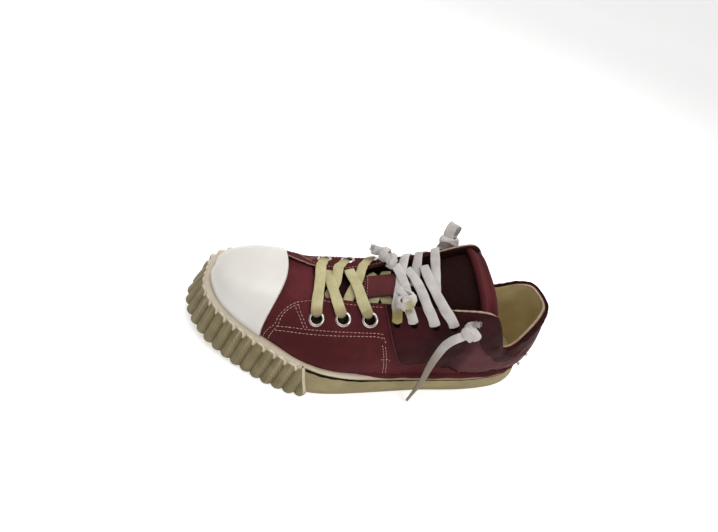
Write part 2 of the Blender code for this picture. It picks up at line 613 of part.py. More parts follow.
def smooth_line(points, spacing):
    """Evenly spaced points on a soft curve through the given ones."""
    p = np.asarray(points, float)
    p = np.vstack([2 * p[0] - p[1], p, 2 * p[-1] - p[-2]])
    t = np.linspace(0, 1, 30, endpoint=False)[:, None]
    bends = [0.5 * (2 * b + (c - a) * t + (2 * a - 5 * b + 4 * c - d) * t ** 2
                    + (3 * b - a - 3 * c + d) * t ** 3) for a, b, c, d in zip(p, p[1:], p[2:], p[3:])]
    line = np.vstack(bends + [p[-2:-1]])
    run = np.concatenate([[0], np.linalg.norm(np.diff(line[:, :3], axis=0), axis=1).cumsum()])
    at = np.linspace(0, run[-1], max(3, int(round(run[-1] / spacing)) + 1))
    return np.column_stack([np.interp(at, run, column) for column in line.T])


def leg(side, hole, edge_x):
    """Points just above the upper, from a hole to the top edge, each with the direction out of it."""
    s0, v0 = find_on_upper(*HOLES[hole], side == "outer")
    s1 = edge_section(edge_x, side == "outer")
    skin = EYELET_THICK if hole < len(METAL_HOLES) else OVERLAY + 2.2
    share = np.array([0, 0.35, 0.7, 1.0])
    s, v = s0 + (s1 - s0) * share, v0 + (0.995 - v0) * share
    point = upper(s, v, 2 * GAP + skin + LACE_THICK)
    return np.hstack([point, point - upper(s, v)])


def over_throat(points, lift_from_tongue):
    """Free points with the direction out of the tongue, which slopes up to the rear."""
    p = np.array(points, float)
    slope = (tongue_top(p[:, 0] + 1, -0.8) - tongue_top(p[:, 0] - 1, -0.8)) / 2
    if lift_from_tongue:
        p[:, 2] += tongue_top(p[:, 0], p[:, 1])
    return np.column_stack([p, -3 * slope, 0 * slope, 3 + 0 * slope])


def build_lace(name, strands, parts, cutters, cloth):
    """Flat strands; the first one has the others joined to it."""
    first = None
    for k, (start, middle, end) in enumerate(strands):
        rows = [over_throat(middle, name == "lace_under_keeper")]
        if start:
            rows.insert(0, leg(*start))
        if end:
            rows.append(leg(*end)[::-1])
        path, up = np.split(smooth_line(np.vstack(rows), 5.0), 2, axis=1)
        run = np.gradient(path, axis=0)
        across = np.cross(run, up)
        across *= 0.5 * LACE_WIDTH / np.linalg.norm(across, axis=1, keepdims=True)
        up = np.cross(across, run)
        up *= 0.5 * LACE_THICK / np.linalg.norm(up, axis=1, keepdims=True)
        corners = [path + across * a + up * b for a, b in ((-1, -1), (1, -1), (1, 1), (-1, 1))]
        made = add_tube(name if k == 0 else f"{name} strand {k}", np.stack(corners, 1),
                        cutters if k else parts, None if k else cloth)
        if k:
            boolean(first, made, "UNION")
        else:
            first = made


def build_loose_end(name, points, parts, cloth):
    data = bpy.data.curves.new(name, "CURVE")
    data.dimensions = "3D"
    data.bevel_depth = CORD_RADIUS * MM
    data.bevel_resolution = 2
    data.use_fill_caps = True
    path = smooth_line(points, 3 * CORD_RADIUS)
    line = data.splines.new("POLY")
    line.points.add(len(path) - 1)
    for knot, p in zip(line.points, path):
        knot.co = (*place(p), 1)
    data.materials.append(cloth)
    parts.objects.link(bpy.data.objects.new(name, data))


def main():
    for old in list(bpy.data.objects):
        bpy.data.objects.remove(old)
    parts = new_collection("low_top_sneaker")
    cutters = new_collection("cutters", helper=True)

    khaki = material("khaki rubber", (0.46, 0.39, 0.25), 0.6)
    cream = material("cream rubber", (0.62, 0.52, 0.38), 0.5)
    white = material("white rubber", (0.72, 0.68, 0.64), 0.35)
    canvas = material("burgundy canvas", (0.09, 0.012, 0.018), 0.8)
    leather = material("burgundy leather", (0.06, 0.012, 0.014), 0.45)
    lining = material("khaki lining", (0.22, 0.17, 0.08), 0.9)
    pile = material("dark tongue pile", (0.02, 0.008, 0.008), 0.95)
    metal = material("eyelet metal", (0.6, 0.55, 0.52), 0.3, 1.0)
    cream_lace = material("cream lace", (0.58, 0.52, 0.32), 0.85)
    white_lace = material("white lace", (0.70, 0.68, 0.67), 0.85)

    build_sole(parts, cutters, khaki)
    build_bumper(parts, khaki)
    build_band(parts, cream)
    body = build_upper(parts, canvas)
    overlay = build_overlay(parts, leather)
    metal_holes = range(len(METAL_HOLES))
    punched_holes = range(len(METAL_HOLES), len(HOLES))
    punch(body, metal_holes, METAL_HOLE, cutters)
    punch(body, punched_holes, PUNCHED_HOLE, cutters)
    punch(overlay, punched_holes, PUNCHED_HOLE, cutters)
    build_eyelets(parts, metal)
    build_cap(parts, white)
    build_insole(parts, lining)
    build_tongue(parts, pile)
    build_keeper(parts, canvas)
    for name, strands in STRANDS.items():
        build_lace(name, strands, parts, cutters, white_lace if name == "lace_rear" else cream_lace)
    for name, points in LOOSE_ENDS.items():
        build_loose_end(name, points, parts, white_lace)


main()
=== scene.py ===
"""The looks of a low-top canvas sneaker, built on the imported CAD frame.

Every surface grows from the same two closed lines as the CAD: the sole's outline and
the upper's top edge. Sizes are in millimetres, in a working frame whose x starts at the
heel; they go to metres when a mesh is made.
"""

import bpy
import numpy as np
from mathutils import Matrix


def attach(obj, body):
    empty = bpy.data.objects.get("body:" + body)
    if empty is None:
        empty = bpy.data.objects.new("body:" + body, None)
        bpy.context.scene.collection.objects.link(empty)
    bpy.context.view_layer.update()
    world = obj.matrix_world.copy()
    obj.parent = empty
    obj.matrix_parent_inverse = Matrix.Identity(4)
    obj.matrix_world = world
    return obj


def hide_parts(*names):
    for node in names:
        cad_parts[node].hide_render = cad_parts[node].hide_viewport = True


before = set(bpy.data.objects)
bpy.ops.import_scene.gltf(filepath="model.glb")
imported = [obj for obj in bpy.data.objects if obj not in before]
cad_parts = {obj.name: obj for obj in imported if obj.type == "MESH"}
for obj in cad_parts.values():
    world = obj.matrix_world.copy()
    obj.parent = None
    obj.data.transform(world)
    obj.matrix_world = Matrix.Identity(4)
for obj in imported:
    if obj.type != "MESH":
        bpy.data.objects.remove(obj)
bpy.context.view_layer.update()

MM = 0.001
CENTRE = np.array((152.8, 0.4, 0.0))  # the middle of the shoe in the working frame
GAP = 0.3  # left between solids that only touch

# The camera's place in the working frame, its turns in radians, and its lens.
CAMERA_PLACE = (215.087, 159.599, 272.886)
CAMERA_YAW, CAMERA_PITCH, CAMERA_ROLL = 0.245090, 0.816046, 0.368814
CAMERA_LENS, SENSOR = 17.144, 36.0
CAMERA_SHIFT = (-0.00397, -0.00779)

WALL = 2.0  # the upper's canvas, backing and lining together
OVERLAY = 1.5  # the rear leather
CAP_SKIN = 1.9  # the toe cap's rubber
QUARTER = 0.7  # the second layer of canvas
RIB_PITCH = 9.4
RIB_SLANT = 7.0  # how far a rib's top lies behind its foot
BUMPER_START_X = 200.0  # where the toe wrap begins on both sides
LACE_WIDTH, LACE_THICK = 8.1, 1.3  # the cream lace
WHITE_WIDTH, WHITE_THICK = 7.2, 1.1  # the white lace behind the keeper
METAL_HOLE, PUNCHED_HOLE = 4.2, 2.6  # radii of the holes cut in the upper
TONGUE_Y = -0.8  # the tongue's middle line
KEEPER_Y = (-9.5, 10.5)
KEEPER = ((167.5, 0), (166, 0.2), (164.6, 2.7), (162, 3.2), (155, 3.4), (148, 3.2), (143.4, 2.8),
          (142, 0.2), (140.5, 0))  # x along the shoe, lift off the tongue

# The sole's bottom edge, from the back of the heel along the outer side to the toe and back.
OUTLINE = (
    # x, y
    (0.4, 0.0), (3.5, 15.0), (12.0, 25.5), (29.0, 34.0), (61.6, 41.5), (94.4, 45.8), (119.2, 49.8),
    (149.4, 55.2), (179.8, 59.6), (205.0, 58.8), (228.5, 52.3), (252.0, 42.0), (274.2, 29.4),
    (291.2, 13.9), (299.7, -1.3), (300.3, -15.3), (295.0, -28.4), (283.7, -39.8), (265.0, -49.1),
    (239.8, -54.1), (214.6, -55.4), (189.2, -52.8), (159.4, -44.9), (124.8, -37.2), (95.0, -34.8),
    (62.0, -35.2), (30.0, -32.3), (13.5, -25.4), (3.9, -14.3),
)
ROUND = len(OUTLINE)  # how far u counts in one turn round the sole

# Heights and insets along the shoe, each as (x ...), (value ...).
SOLE_BOTTOM = (-5, 0, 8, 20, 34, 212, 240, 265, 285, 305), (7.5, 6.5, 3.6, 1, 0, 0, 0.8, 3.6, 7, 11.5)
BAND_TOP = (-5, 0, 20, 60, 100, 125, 150, 175, 200, 235, 260, 290, 310), (
    19.4, 19, 17.4, 16.4, 16.8, 19.4, 23, 27, 31.5, 37, 40.4, 45.4, 47.4)
BAND_HEIGHT = (0, 100, 150, 175, 200, 310), (4.4, 4.8, 6.0, 5.2, 3.9, 4.2)
BAND_INSET = (0, 150, 185, 205, 230, 310), (4.6, 4.6, 6.0, 7.6, 9.6, 10.8)
FOOT_INSET = (0, 150, 185, 205, 235, 256, 275, 290, 310), (
    7.4, 7.4, 8.8, 10.6, 13.0, 13.4, 14.4, 16.4, 17.8)
# u at the toe's blunt end, its reach, and the further inset of all that stands above the sole.
TIP = (14.6, 1.5, 5.6)

# The upper's top edge and how each section leaves the band and meets that edge.
STATIONS = (
    # x, y outer, y inner, z outer, z inner, foot x, foot lean, foot rise, top out, top drop
    (211.5, 3.0, -6.0, 66.5, 66.5, 290.0, 1.0, 17, 40, 2),
    (210.0, 7.0, -9.5, 66.2, 66.2, 273.0, 1.0, 16, 33, 3),
    (206.5, 10.5, -12.0, 65.6, 65.4, 250.0, 1.0, 16, 26, 5),
    (200.0, 12.6, -13.8, 65.0, 65.0, 226.0, 1.0, 17, 20, 6),
    (190.0, 13.5, -14.5, 65.5, 65.4, 206.0, 1.0, 20, 20, 5.5),
    (178.0, 14.4, -15.1, 67.5, 67.4, 186.0, 1.0, 22, 23, 4),
    (165.0, 16.2, -16.7, 71.5, 71.4, 167.0, 1.0, 24, 25, 2),
    (152.0, 18.7, -19.0, 77.3, 77.2, 151.0, 1.0, 26, 22, 4),
    (138.0, 21.7, -21.9, 83.4, 83.3, 136.0, 1.0, 28, 18, 6.5),
    (123.0, 25.0, -25.0, 89.8, 89.8, 120.0, 1.0, 30, 14, 9.5),
    (108.5, 28.0, -28.1, 96.2, 96.4, 106.0, 1.0, 30, 10, 14.5),
    (96.0, 30.2, -30.4, 102.2, 102.4, 94.4, 1.0, 30, 5.5, 22),
    (86.0, 32.0, -31.8, 104.8, 104.8, 82.0, 1.0, 28, 2, 26),
    (78.0, 32.8, -32.7, 100.5, 100.5, 72.0, 1.5, 26, 2, 24),
    (70.5, 33.0, -32.8, 90.5, 90.5, 63.5, 2.0, 22, 3, 20),
    (63.0, 32.6, -32.0, 78.5, 78.5, 57.0, 2.5, 18, 4, 15),
    (56.0, 31.5, -31.2, 67.6, 67.8, 51.0, 3.0, 15, 5, 12),
    (49.0, 30.2, -30.2, 62.8, 63.4, 44.0, 3.0, 14, 5, 12),
    (41.5, 27.0, -29.2, 66.0, 66.8, 36.0, 3.0, 15, 6, 14),
    (34.0, 20.6, -27.4, 73.4, 75.5, 27.0, 3.0, 17, 7, 18),
    (26.0, 12.6, -24.4, 78.4, 82.0, 19.0, 3.8, 20, 9, 21),
    (18.5, 4.0, -19.4, 80.2, 82.8, 11.0, 4.2, 22, 9, 24),
)
# How far the inner side flattens, by the x of its foot.
INNER_TOE = (0, 186, 226, 262, 290, 310), (0, 0, 1, 1, 0.75, 0.5)
TOE_STATION = (212.0, -1.5, 66.5, 1.0, 15.4, 40.5, 2.4)  # x, y, z, lean, rise, out, drop
HEEL_STATION = (13.2, -6.8, 80.6, 4.4, 22, 9, 24)

# The lace holes, front to back: how far along the shoe, and how far down from the top edge.
METAL_HOLES = ((198.0, 17.3), (179.4, 14.3), (160.6, 12.6))
PUNCHED_HOLES = ((142.9, 13.6), (131.1, 12.6), (116.6, 12.8), (103.6, 14.0), (91.2, 14.4))
HOLES = METAL_HOLES + PUNCHED_HOLES
METAL, PUNCHED = range(len(METAL_HOLES)), range(len(METAL_HOLES), len(HOLES))

# The toe cap's rear edge lies at CAP_EDGE_X, and further forward away from the middle.
CAP_EDGE_X, CAP_EDGE_CURVE = 224.5, 0.0078

# The tongue along its length.
TONGUE = (
    # x, z middle, half width, side drop, thickness
    (216, 60.0, 19.0, 9.0, 2.6), (205, 60.5, 20.5, 9.0, 3.0), (190, 61.5, 21.0, 9.0, 3.5),
    (178, 63.6, 21.0, 8.5, 4.0), (165, 67.6, 21.0, 7.5, 4.5), (152, 73.4, 21.0, 7.0, 5.0),
    (138, 80.0, 21.6, 6.0, 6.0), (122, 87.8, 22.6, 5.0, 7.0), (108, 95.0, 25.2, 4.0, 8.0),
    (96, 101.0, 27.2, 3.2, 9.0), (86, 105.0, 28.6, 2.4, 10.0), (80, 105.6, 28.6, 2.0, 9.0),
    (76, 102.6, 27.6, 2.0, 6.0),
)


# ---------------------------------------------------------------- lines and tables
def unit(a):
    """Directions of length 1."""
    return a / np.linalg.norm(a, axis=-1, keepdims=True)


def running(p):
    """Length along a line up to each of its points."""
    return np.concatenate([[0], np.linalg.norm(np.diff(p, axis=0), axis=1).cumsum()])


def points_at(line, run, at):
    """Points of a line at the lengths along it, where run is the length up to each point that it has."""
    return np.column_stack([np.interp(at, run, column) for column in line.T])


def circle(count):
    """Angles spread evenly round a circle."""
    return np.linspace(0, 2 * np.pi, count, endpoint=False)


def squared(a, power):
    """Sines or cosines made squarer by a power below 1, with their signs kept."""
    return np.sign(a) * np.abs(a) ** power


def ramp(a):
    """From 0 to 1 with a straight slope, level outside."""
    return np.clip(a, 0, 1)


def soft_step(a):
    """From 0 to 1 with level ends."""
    a = ramp(a)
    return a * a * (3 - 2 * a)


def eased(a):
    """From 0 at an edge up to 1, round like a turned edge."""
    return np.sqrt(ramp(1 - (1 - ramp(a)) ** 2))


def to_ends(run):
    """Length from each point of a line to the nearer end, from the length up to each point."""
    return np.minimum(run, run[-1] - run)


def apart(a, b):
    """Distance between the points of two arrays."""
    return np.linalg.norm(a - b, axis=-1)


def dome(a):
    """1 at 0, falling off like a bell to both sides."""
    return np.exp(-a ** 2)


def closed_spline(rows, u):
    """Smooth closed curve through the rows, at u = 0, 1, 2 ... around."""
    p = np.asarray(rows, float)
    n = len(p)
    system = 4 * np.eye(n) + np.roll(np.eye(n), 1, 1) + np.roll(np.eye(n), -1, 1)
    bend = np.linalg.solve(system, 6 * (np.roll(p, -1, 0) - 2 * p + np.roll(p, 1, 0)))
    u = np.asarray(u, float) % n
    i = np.floor(u).astype(int) % n
    j = (i + 1) % n
    t = (u - np.floor(u))[..., None]
    straight = (1 - t) * p[i] + t * p[j]
    return straight + ((1 - t) ** 3 - (1 - t)) * bend[i] / 6 + (t ** 3 - t) * bend[j] / 6


def table(x, columns):
    """Smooth lookup that never overshoots its rows."""
    xs, ys = (np.asarray(c, float) for c in columns)
    x = np.clip(np.asarray(x, float), xs[0], xs[-1])
    slope = np.diff(ys) / np.diff(xs)
    m = np.zeros(len(xs))
    both = slope[:-1] * slope[1:] > 0
    m[1:-1][both] = (2 * slope[:-1] * slope[1:] / (slope[:-1] + slope[1:] + 1e-12))[both]
    m[0], m[-1] = slope[0], slope[-1]
    k = np.clip(np.searchsorted(xs, x, side="right") - 1, 0, len(xs) - 2)
    h = xs[k + 1] - xs[k]
    t = (x - xs[k]) / h
    return ((2 * t ** 3 - 3 * t ** 2 + 1) * ys[k] + (t ** 3 - 2 * t ** 2 + t) * h * m[k]
            + (3 * t ** 2 - 2 * t ** 3) * ys[k + 1] + (t ** 3 - t ** 2) * h * m[k + 1])


def row_table(x, rows, column):
    """Smooth lookup in one column of rows whose first column falls."""
    rows = np.asarray(rows, float)
    return table(-np.asarray(x, float), (-rows[:, 0], rows[:, column]))


def outline(u, inset=0.0):
    """Points on the sole's outline moved inward by inset, and the outward normals."""
    u = np.asarray(u, float)
    p = closed_spline(OUTLINE, u)
    d = unit(closed_spline(OUTLINE, u + 1e-3) - closed_spline(OUTLINE, u - 1e-3))
    out = np.stack([-d[..., 1], d[..., 0]], -1)
    return p - np.asarray(inset, float)[..., None] * out, out


def ring(u, inset, z):
    """Points round the sole at an inset and a height."""
    return np.column_stack([outline(u, inset)[0], z])


def inset_at(u, x, columns):
    """Inset from a table, with the toe's blunt end added."""
    away = (u - TIP[0] + ROUND / 2) % ROUND - ROUND / 2
    return table(x, columns) + TIP[2] * dome(away / TIP[1])


def outline_span():
    """u at the toe's tip, and u at the heel's back just below it."""
    u = np.linspace(0, ROUND, 5801)[:-1]
    x = closed_spline(OUTLINE, u)[:, 0]
    toe, heel = u[np.argmax(x)], u[np.argmin(x)]
    return toe, heel - ROUND if heel > toe else heel


U_TOE, U_HEEL = outline_span()


def u_at_x(x, outer):
    """u where the outline crosses x, on its outer or its inner side."""
    u = np.linspace(U_HEEL if outer else U_HEEL + ROUND, U_TOE, 1500)
    return np.interp(x, closed_spline(OUTLINE, u)[:, 0], u)


def stations():
    """One row per section, from the toe round the outer side: u, top edge x y z, four handles."""
    rows = [(U_TOE, *TOE_STATION)]
    for x, yo, _, zo, _, foot, *handles in STATIONS:
        rows.append((u_at_x(foot, True), x, yo, zo, *handles))
    rows.append((U_HEEL, *HEEL_STATION))
    for x, _, yi, _, zi, foot, lean, rise, out, drop in reversed(STATIONS):
        flat = float(table(foot, INNER_TOE))
        rows.append((u_at_x(foot, False) - ROUND, x, yi, zi, lean,
                     rise * (1 - 0.4 * flat), out * (1 - 0.15 * flat), drop + flat))
    rows = np.array(rows)
    rows[:, 0] += ROUND * np.arange(len(rows)) / len(rows)  # takes the turn out, so the spline can close
    return rows


SECTIONS = stations()
TURN = len(SECTIONS)  # how far s counts in one turn round the upper
HEEL_S = len(STATIONS) + 1  # the section at the back of the heel


# ---------------------------------------------------------------- the shoe's surfaces
def upper_base(s, v):
    """The upper's clean outer face, as a curve from the band to the top edge in each section."""
    q = closed_spline(SECTIONS, s)
    u = q[..., 0] - ROUND * s / TURN
    x = outline(u)[0][..., 0]
    foot, out = outline(u, inset_at(u, x, FOOT_INSET))
    foot = np.concatenate([foot, table(x, BAND_TOP)[..., None]], -1)
    out = np.concatenate([out, 0 * out[..., :1]], -1)
    up = np.array([0, 0, 1.0])
    top = q[..., 1:4]
    low = foot + out * q[..., 4:5] + up * q[..., 5:6]
    high = top + out * q[..., 6:7] - up * q[..., 7:8]
    t = v[..., None]
    return (1 - t) ** 3 * foot + 3 * (1 - t) ** 2 * t * low + 3 * (1 - t) * t * t * high + t ** 3 * top


def upper(s, v, off=0.0):
    """The upper's outer face at section s and at v, 0 on the band to 1 at the top edge, moved out by off."""
    s, v = np.broadcast_arrays(np.asarray(s, float), np.asarray(v, float))
    p = upper_base(s, v)
    e = 1e-3
    along = upper_base(s + e, v) - upper_base(s - e, v)
    rise = upper_base(s, v + e) - upper_base(s, v - e)
    return p + unit(np.cross(along, rise)) * np.asarray(off, float)[..., None]


def sole_side(u, h, off=0.0):
    """The sole's side at outline u and height share h, moved out by off."""
    u, h = np.broadcast_arrays(np.asarray(u, float), np.asarray(h, float))
    x = outline(u)[0][..., 0]
    low = table(x, SOLE_BOTTOM)
    high = table(x, BAND_TOP) - table(x, BAND_HEIGHT) - GAP
    p, _ = outline(u, inset_at(u, x, BAND_INSET) * h - off)
    return np.concatenate([p, (low + (high - low) * h)[..., None]], -1)


def find_on_upper(x, drop, outer):
    """Section and v of the point at x that lies drop below the top edge, measured along the upper."""
    v = np.linspace(0, 1, 201)
    s = np.linspace(1, HEEL_S - 1, 500) if outer else np.linspace(HEEL_S + 1, TURN - 1, 500)
    grid = upper_base(*np.meshgrid(s, v, indexing="ij"))
    run = np.linalg.norm(np.diff(grid, axis=1), axis=-1)[:, ::-1].cumsum(axis=1)
    at = 200 - np.array([np.searchsorted(r, drop) + 1 for r in run])
    best = np.argmin(np.abs(grid[np.arange(len(s)), at, 0] - x))
    return s[best], v[at[best]]


def edge_section(x, outer):
    """Section whose top edge lies at x."""
    s = np.linspace(1, HEEL_S - 1, 800) if outer else np.linspace(TURN - 1, HEEL_S + 1, 800)
    return float(np.interp(-x, -closed_spline(SECTIONS, s)[:, 1], s))


def tongue_top(x, y=TONGUE_Y):
    """Height of the tongue's upper face."""
    z, half, drop = (row_table(x, TONGUE, k) for k in (1, 2, 3))
    return z - drop * ((np.asarray(y, float) - TONGUE_Y) / half) ** 2

# ---------------------------------------------------------------- the worn surface
# Soft creases: points as (section, share of height) on the outer side, then width, and
# height out of the surface (negative is a trough).
CREASES = (
    (((18.9, 0.52), (18.2, 0.58), (17.4, 0.60), (16.4, 0.62)), 3.6, -1.2),
    (((19.8, 0.66), (19.0, 0.74), (18.2, 0.78)), 4.4, 0.9),
    (((20.9, 0.60), (19.9, 0.52), (18.9, 0.44)), 3.4, -1.0),
    (((16.0, 0.80), (17.0, 0.86), (18.0, 0.90)), 3.5, 0.9),
    (((15.6, 0.42), (14.4, 0.36), (13.2, 0.38)), 5.0, -0.7),
    (((12.6, 0.50), (11.4, 0.44), (10.0, 0.48)), 6.0, -0.6),
    (((7.4, 0.42), (6.4, 0.36), (5.2, 0.34)), 6.0, -0.8),
    (((8.6, 0.20), (7.2, 0.24), (6.0, 0.20)), 5.0, 0.6),
    (((4.6, 0.30), (4.2, 0.18)), 4.0, -0.6),
    (((27.2, 0.55), (28.0, 0.62), (29.2, 0.60)), 4.0, -1.2),
    (((31.5, 0.40), (33.0, 0.36), (34.5, 0.42)), 6.0, -0.8),
    (((39.5, 0.40), (40.6, 0.34), (41.6, 0.36)), 5.0, -0.7),
)


def crease_lines():
    """Each crease as points on the clean surface, with its width and height."""
    lines = []
    for knots, width, height in CREASES:
        s, v = smooth_line(knots, 0.05).T
        lines.append((upper_base(s, v), width, height))
    return lines


def relief(p):
    """How far wear has moved each point out of the clean surface."""
    flat = p.reshape(-1, 3)
    moved = np.zeros(len(flat))
    for line, width, height in CREASE_LINES:
        low, high = line.min(0) - 3 * width, line.max(0) + 3 * width
        near = np.all((flat > low) & (flat < high), axis=1)
        d = np.linalg.norm(flat[near][:, None] - line[None], axis=2).min(axis=1)
        moved[near] += height * dome(d / width)
    x, y, z = flat.T
    moved += 0.16 * np.sin(x / 9.1 + z / 7.3) * np.sin(z / 8.7 - x / 17.0 + y / 11.0)
    moved += 0.10 * np.sin(x / 4.3 - z / 5.1 + 1.7) * np.sin(y / 5.7 + z / 3.9)
    return moved.reshape(p.shape[:-1])


def worn(s, v, off=0.0):
    """The upper's outer face with its creases, moved out by off."""
    s, v = np.broadcast_arrays(np.asarray(s, float), np.asarray(v, float))
    base = upper_base(s, v)
    return upper(s, v, relief(base) * np.clip((1.02 - v) * 7, 0.1, 1) + off)


def smooth_line(points, spacing):
    """Evenly spaced points on a soft curve through the given ones."""
    p = np.asarray(points, float)
    p = np.vstack([2 * p[0] - p[1], p, 2 * p[-1] - p[-2]])
    t = np.linspace(0, 1, 30, endpoint=False)[:, None]
    bends = [0.5 * (2 * b + (c - a) * t + (2 * a - 5 * b + 4 * c - d) * t ** 2
                    + (3 * b - a - 3 * c + d) * t ** 3) for a, b, c, d in zip(p, p[1:], p[2:], p[3:])]
    line = np.vstack(bends + [p[-2:-1]])
    run = running(line[:, :3])
    return points_at(line, run, np.linspace(0, run[-1], max(3, int(round(run[-1] / spacing)) + 1)))


CREASE_LINES = crease_lines()


# ---------------------------------------------------------------- meshes
def to_frame(points):
    """Metres in the frame, from millimetres in the working frame."""
    return (np.asarray(points, float) - CENTRE) * MM


def add_piece(name, points, faces, finish, slot, cloth=None, tint=None, nodes=()):
    """Object from points in millimetres and arrays of faces. cloth is where each point lies on its
    cloth, in millimetres, and tint is a free share for the material."""
    points = np.asarray(points, float).reshape(-1, 3)
    mesh = bpy.data.meshes.new(name)
    mesh.vertices.add(len(points))
    mesh.vertices.foreach_set("co", to_frame(points).ravel())
    corners = np.concatenate([np.asarray(f, int).ravel() for f in faces])
    sizes = np.concatenate([np.full(len(f), np.shape(f)[1], int) for f in faces])
    mesh.loops.add(len(corners))
    mesh.loops.foreach_set("vertex_index", corners)
    mesh.polygons.add(len(sizes))
    mesh.polygons.foreach_set("loop_start", np.concatenate([[0], sizes.cumsum()[:-1]]))
    mesh.polygons.foreach_set("use_smooth", np.ones(len(sizes), bool))
    mesh.update(calc_edges=True)
    if cloth is not None:
        cloth = np.asarray(cloth, float).reshape(-1, cloth.shape[-1])
        if cloth.shape[1] == 2:
            cloth = np.column_stack([cloth, 0 * cloth[:, 0]])
        layer = mesh.attributes.new("cloth", "FLOAT_VECTOR", "POINT")
        layer.data.foreach_set("vector", cloth.ravel())
    if tint is not None:
        layer = mesh.attributes.new("tint", "FLOAT", "POINT")
        layer.data.foreach_set("value", np.asarray(tint, float).ravel())
    mesh.materials.append(FINISH[finish])
    made = bpy.data.objects.new(name, mesh)
    bpy.context.scene.collection.objects.link(made)
    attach(made, "root")
    if nodes:
        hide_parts(*nodes)
    return made


def grid_faces(rows, columns, round_rows=False, round_columns=False):
    """Four-sided faces of a grid, which may close on itself along or across."""
    i, j = np.meshgrid(np.arange(rows if round_rows else rows - 1),
                       np.arange(columns if round_columns else columns - 1), indexing="ij")
    k, m = (i + 1) % rows, (j + 1) % columns
    corners = (i * columns + j, k * columns + j, k * columns + m, i * columns + m)
    return np.stack(corners, -1).reshape(-1, 4)


def grid_cloth(grid):
    """Length along the rows and along the columns up to each point of a grid."""
    a = np.zeros(grid.shape[:2])
    b = np.zeros(grid.shape[:2])
    a[1:] = np.linalg.norm(np.diff(grid, axis=0), axis=-1).mean(axis=1, keepdims=True).cumsum(axis=0)
    b[:, 1:] = np.linalg.norm(np.diff(grid, axis=1), axis=-1).cumsum(axis=1)
    return np.stack([a, b], -1)


def tube_faces(rings, around):
    """Faces of a closed tube with flat ends."""
    end = np.arange(around)[None]
    return [grid_faces(rings, around, round_columns=True), end, (rings - 1) * around + end[:, ::-1]]


def add_grid(name, grid, finish, slot, round_rows=False, round_columns=False, **extra):
    """Piece from a grid of points."""
    extra.setdefault("cloth", grid_cloth(grid))
    faces = [grid_faces(*grid.shape[:2], round_rows, round_columns)]
    return add_piece(name, grid, faces, finish, slot, **extra)


def add_tube(name, rings, finish, slot, **extra):
    """Piece from the rings of a closed tube."""
    extra.setdefault("cloth", grid_cloth(rings))
    return add_piece(name, rings, tube_faces(*rings.shape[:2]), finish, slot, **extra)


class Bunch:
    """Collects many small meshes and makes one piece of them."""

    def __init__(self):
        self.points, self.faces, self.cloth, self.tint, self.count = [], [], [], [], 0

    def add(self, points, faces, cloth=None, tint=0.0):
        points = np.asarray(points, float).reshape(-1, 3)
        self.points.append(points)
        self.faces += [np.asarray(f, int) + self.count for f in faces]
        self.cloth.append(np.zeros((len(points), 2)) if cloth is None else np.asarray(cloth).reshape(-1, 2))
        self.tint.append(np.broadcast_to(tint, (len(points),)))
        self.count += len(points)

    def add_rings(self, rings, cloth=None, tint=0.0):
        self.add(rings, tube_faces(*rings.shape[:2]), cloth, tint)

    def piece(self, name, finish, slot, **extra):
        return add_piece(name, np.concatenate(self.points), self.faces, finish, slot,
                         cloth=np.concatenate(self.cloth), tint=np.concatenate(self.tint), **extra)


def frame_along(path, up):
    """Directions along, across and out of a band that follows path with its face towards up."""
    run = unit(np.gradient(path, axis=0))
    across = unit(np.cross(run, up))
    return run, across, np.cross(across, run)


def band_rings(path, up, width, thick, crown):
    """Rings of a flat woven band. width, thick and crown may change along it."""
    width, thick, crown = (np.broadcast_to(a, len(path)) for a in (width, thick, crown))
    _, across, out = frame_along(path, up)
    a = circle(20)
    y = squared(np.cos(a), 0.45)
    z = squared(np.sin(a), 0.8)
    side = 0.5 * width[:, None] * y
    lift = 0.5 * thick[:, None] * z * (1 - 0.25 * y ** 2) - crown[:, None] * y ** 2
    rings = path[:, None] + across[:, None] * side[..., None] + out[:, None] * lift[..., None]
    cloth = np.stack([np.broadcast_to(running(path)[:, None], side.shape), side], -1)
    return rings, cloth


def round_rings(path, radius, around):
    """Rings of a round cord, kept from twisting."""
    run = unit(np.gradient(path, axis=0))
    up = np.zeros_like(run)
    up[0] = unit(np.cross(run[0], (0.31, 0.87, 0.39)))
    for k in range(1, len(path)):
        up[k] = unit(up[k - 1] - run[k] * (up[k - 1] @ run[k]))
    side = np.cross(up, run)
    radius = np.broadcast_to(np.asarray(radius, float), len(path))
    a = circle(around)
    return path[:, None] + radius[:, None, None] * (
        up[:, None] * np.cos(a)[:, None] + side[:, None] * np.sin(a)[:, None])


